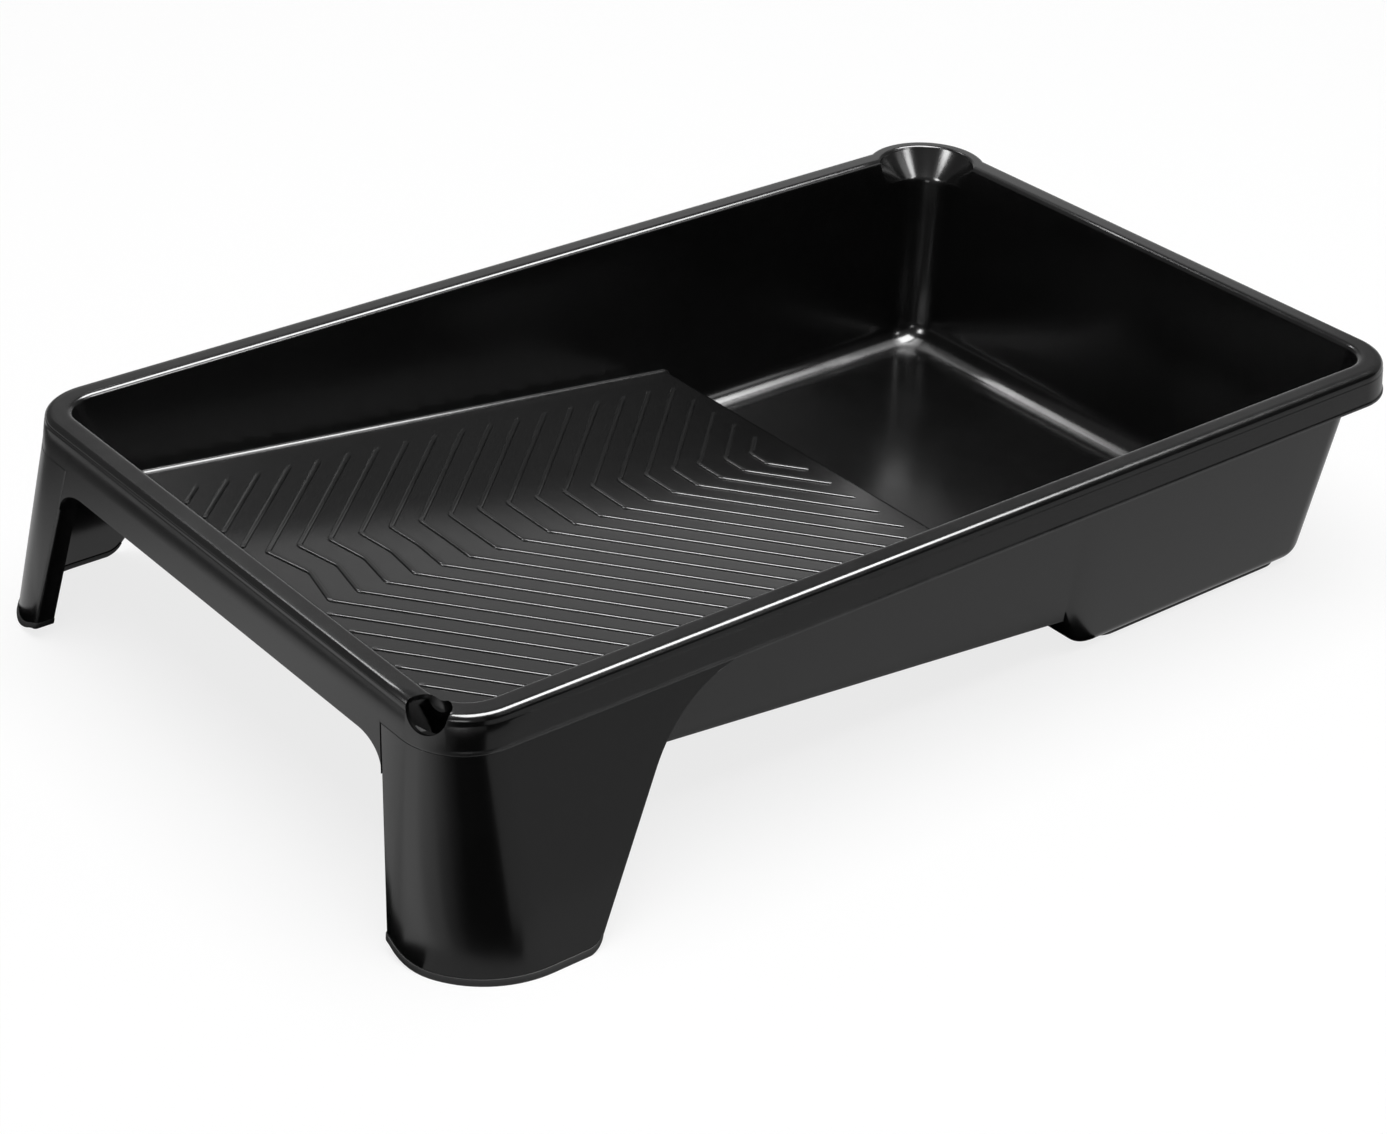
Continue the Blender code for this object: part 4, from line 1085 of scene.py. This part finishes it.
def sweep_material():
    """Matt white sweep, seen as a white background that still takes the object's shadow."""
    material, tree = start_material("matt_white_sweep")
    shader = tree.nodes["Principled BSDF"]
    shader.inputs["Base Color"].default_value = linear_colour(FLOOR_WHITE)
    shader.inputs["Roughness"].default_value = FLOOR_ROUGHNESS
    shader.inputs["Specular IOR Level"].default_value = FLOOR_SPECULAR
    path = add_node(tree, "ShaderNodeLightPath").outputs
    seen = add_node(tree, "ShaderNodeMath", {"operation": "MAXIMUM"},
                    links={0: path["Is Camera Ray"], 1: path["Is Glossy Ray"]})
    seen = add_node(tree, "ShaderNodeMath", {"operation": "MAXIMUM"},
                    links={0: seen, 1: path["Is Transmission Ray"]})
    share = add_node(tree, "ShaderNodeMath", {"operation": "MULTIPLY"}, {1: FLOOR_GLOW}, {0: seen})
    glow = add_node(tree, "ShaderNodeEmission", values={"Color": WHITE, "Strength": 1.0})
    mix = add_node(tree, "ShaderNodeMixShader", links={0: share, 1: shader, 2: glow})
    tree.links.new(mix.outputs["Shader"], tree.nodes["Material Output"].inputs["Surface"])
    return material


floor_mesh = bpy.data.meshes.new("studio_floor")
half_floor = FLOOR_SIZE / 2
floor_corners = [(-half_floor, -half_floor, 0.0), (half_floor, -half_floor, 0.0),
                 (half_floor, half_floor, 0.0), (-half_floor, half_floor, 0.0)]
floor_mesh.from_pydata(floor_corners, [], [(0, 1, 2, 3)])
floor_mesh.materials.append(sweep_material())
studio_floor = add_object("studio_floor", floor_mesh)


def add_soft_box(name, place, target, size, radiance, in_gloss=True):
    """Rectangular soft box facing the target, for the gloss or for the matt surfaces only."""
    lamp = bpy.data.lights.new(name, "AREA")
    lamp.shape = "RECTANGLE"
    lamp.size, lamp.size_y = size
    lamp.energy = radiance * math.pi * size[0] * size[1]
    box = add_object(name, lamp)
    box.location = place
    box.rotation_euler = (Vector(target) - Vector(place)).to_track_quat("-Z", "Y").to_euler()
    box.visible_camera = False
    box.visible_glossy = in_gloss
    box.visible_diffuse = not in_gloss


def add_flag(name, rows, shades):
    """Card skinned between rows of places, shaded from corner to corner, which only the tray's gloss sees."""
    material, tree = start_material(name)
    shade = add_node(tree, "ShaderNodeAttribute", {"attribute_name": "shade"})
    card = add_node(tree, "ShaderNodeEmission", values={"Color": WHITE},
                    links={"Strength": shade.outputs["Fac"]})
    tree.links.new(card.outputs["Emission"], tree.nodes["Material Output"].inputs["Surface"])
    width = len(rows[0])
    faces = []
    for first in range(0, (len(rows) - 1) * width, width):
        for place in range(first, first + width - 1):
            faces.append((place, place + 1, place + width + 1, place + width))
    mesh = bpy.data.meshes.new(name)
    mesh.from_pydata([place for row in rows for place in row], [], faces)
    shade_values = mesh.attributes.new("shade", "FLOAT", "POINT").data
    shade_values.foreach_set("value", [value for row in shades for value in row])
    mesh.materials.append(material)
    flag = add_object(name, mesh)
    flag.visible_camera = False
    flag.visible_diffuse = False
    flag.visible_shadow = False


def lying_row(y, start, end, height):
    """Two places on a level line across the floor."""
    return [(start, y, height), (end, y, height)]


TRAY_TOP = (0.0, 0.0, RIM_TOP)
SPOUT_PLACE = (0.225, 0.125, 0.09)
LEG_CORNER = (-0.232, -0.165)
CORNER_TURNS = (12.0, -15.0, -48.0, -64.0, -84.0, -111.0, -135.0)
CORNER_SHADES = (0.0, 0.0, 0.0, 0.2, 0.7, 1.3, 0.9)
CORNER_NEAR = 0.05
CORNER_FAR = 0.33
CORNER_HIGH = 0.12
CARD_LIFT = 0.0006
FRONT_FLAG_HEIGHTS = (0.0, 0.09, 0.0901, 0.3)
FRONT_FLAG_SHADES = (0.45, 0.45, 0.0, 0.0)
FRONT_FLAG_BACK = 0.2
FRONT_FLAG_OVERLAP = 0.07
FRONT_FLAG_END = 0.6
# Cards on the floor: name, start and end along X, height, and lines across as (y, shade).
FLOOR_CARDS = (
    ("grey_floor_card", -1.3, 1.0, CARD_LIFT, ((-1.1, 0.55), (1.0, 0.55))),
    # The card under the tray is black: a painted shadow under the tray, seen only in the gloss.
    ("under_tray_painted_shadow_card", -0.275, 0.10, 2 * CARD_LIFT, ((-0.148, 0.0), (0.158, 0.0))),
    ("apron_card", -0.95, -0.275, 2 * CARD_LIFT,
     ((-0.12, 0.7), (0.10, 0.9), (0.20, 0.7), (0.31, 0.2), (0.8, 0.05))),
)

add_soft_box("ceiling", (0.0, -0.2, 2.4), (0.0, 0.0, 0.0), (2.6, 2.6), 3.0, False)
add_soft_box("overhead_strip", (0.35, -0.15, 1.45), (0.35, -0.05, 0.0), (1.6, 0.8), 26.0)
add_soft_box("back_low_box", (0.95, 1.25, 0.62), TRAY_TOP, (1.3, 0.42), 0.5)
add_soft_box("back_dim_box", (0.90, 1.15, 0.37), TRAY_TOP, (1.8, 0.30), 0.12)
add_soft_box("back_high_box", (0.45, 1.30, 1.12), TRAY_TOP, (1.0, 0.5), 0.2)
add_soft_box("back_strip", (0.15, 1.15, 1.35), TRAY_TOP, (0.6, 0.14), 16.0)
add_soft_box("low_back_card", (1.0, 1.05, 0.12), TRAY_TOP, (1.4, 0.22), 1.6)
add_soft_box("spout_left_box", (-1.08, 0.20, 0.85), SPOUT_PLACE, (0.4, 0.4), 26.0)
add_soft_box("spout_front_box", (0.50, -1.10, 0.95), SPOUT_PLACE, (0.36, 0.36), 20.0)
add_soft_box("ramp_bounce_box", (1.00, -1.00, 0.90), TRAY_TOP, (0.5, 0.5), 2.6)
add_soft_box("corner_box", (-0.82, -0.77, 0.42), (0.10, 0.02, 0.0), (0.4, 0.16), 7.0)

corner_rows = []
corner_low = 3 * CARD_LIFT
for radius, height in ((CORNER_NEAR, corner_low), (CORNER_FAR, corner_low), (CORNER_FAR, CORNER_HIGH)):
    corner_rows.append([(LEG_CORNER[0] + radius * math.sin(math.radians(turn)),
                         LEG_CORNER[1] - radius * math.cos(math.radians(turn)), height)
                        for turn in CORNER_TURNS])
add_flag("leg_corner_flag", corner_rows, [CORNER_SHADES] * len(corner_rows))
front_start = corner_rows[1][0][0] - FRONT_FLAG_OVERLAP
front_y = corner_rows[1][0][1] + FRONT_FLAG_BACK
front_rows = [lying_row(front_y, front_start, FRONT_FLAG_END, height) for height in FRONT_FLAG_HEIGHTS]
add_flag("front_flag", front_rows, [(shade, shade) for shade in FRONT_FLAG_SHADES])
for card_name, start, end, height, lines in FLOOR_CARDS:
    card_rows = [lying_row(y, start, end, height) for y, _ in lines]
    add_flag(card_name, card_rows, [(shade, shade) for _, shade in lines])

world = bpy.data.worlds.new("studio_air")
world.use_nodes = True
air = world.node_tree.nodes["Background"].inputs
air["Color"].default_value = WHITE
air["Strength"].default_value = AIR_STRENGTH
bpy.context.scene.world = world

# Camera
# The photograph's viewpoint, fitted to the rim, the legs, the ramp and the well.
CAMERA_FROM_RIM = Vector((-0.7305, -0.87471, 0.571216))
CAMERA_YAW = 0.6836235
CAMERA_PITCH = 0.5254603
CAMERA_ROLL = 0.0303375
CAMERA_LENS_MM = 80.517
CAMERA_SENSOR_MM = 36.0

level = math.cos(CAMERA_PITCH)
forward = Vector((math.sin(CAMERA_YAW) * level, math.cos(CAMERA_YAW) * level, -math.sin(CAMERA_PITCH)))
right = Vector((math.cos(CAMERA_YAW), -math.sin(CAMERA_YAW), 0.0))
upward = right.cross(forward)
turned_right = right * math.cos(CAMERA_ROLL) + upward * math.sin(CAMERA_ROLL)
turned_up = upward * math.cos(CAMERA_ROLL) - right * math.sin(CAMERA_ROLL)
camera_data = bpy.data.cameras.new("photo_camera")
camera_data.lens = CAMERA_LENS_MM
camera_data.sensor_width = CAMERA_SENSOR_MM
camera_data.sensor_fit = "HORIZONTAL"
camera = add_object("photo_camera", camera_data)
facing = Matrix((turned_right, turned_up, -forward)).transposed().to_4x4()
camera.matrix_world = Matrix.Translation(TRAY_MIDDLE + Vector(TRAY_TOP) + CAMERA_FROM_RIM) @ facing
bpy.context.scene.camera = camera
bpy.context.scene.view_settings.view_transform = "Standard"
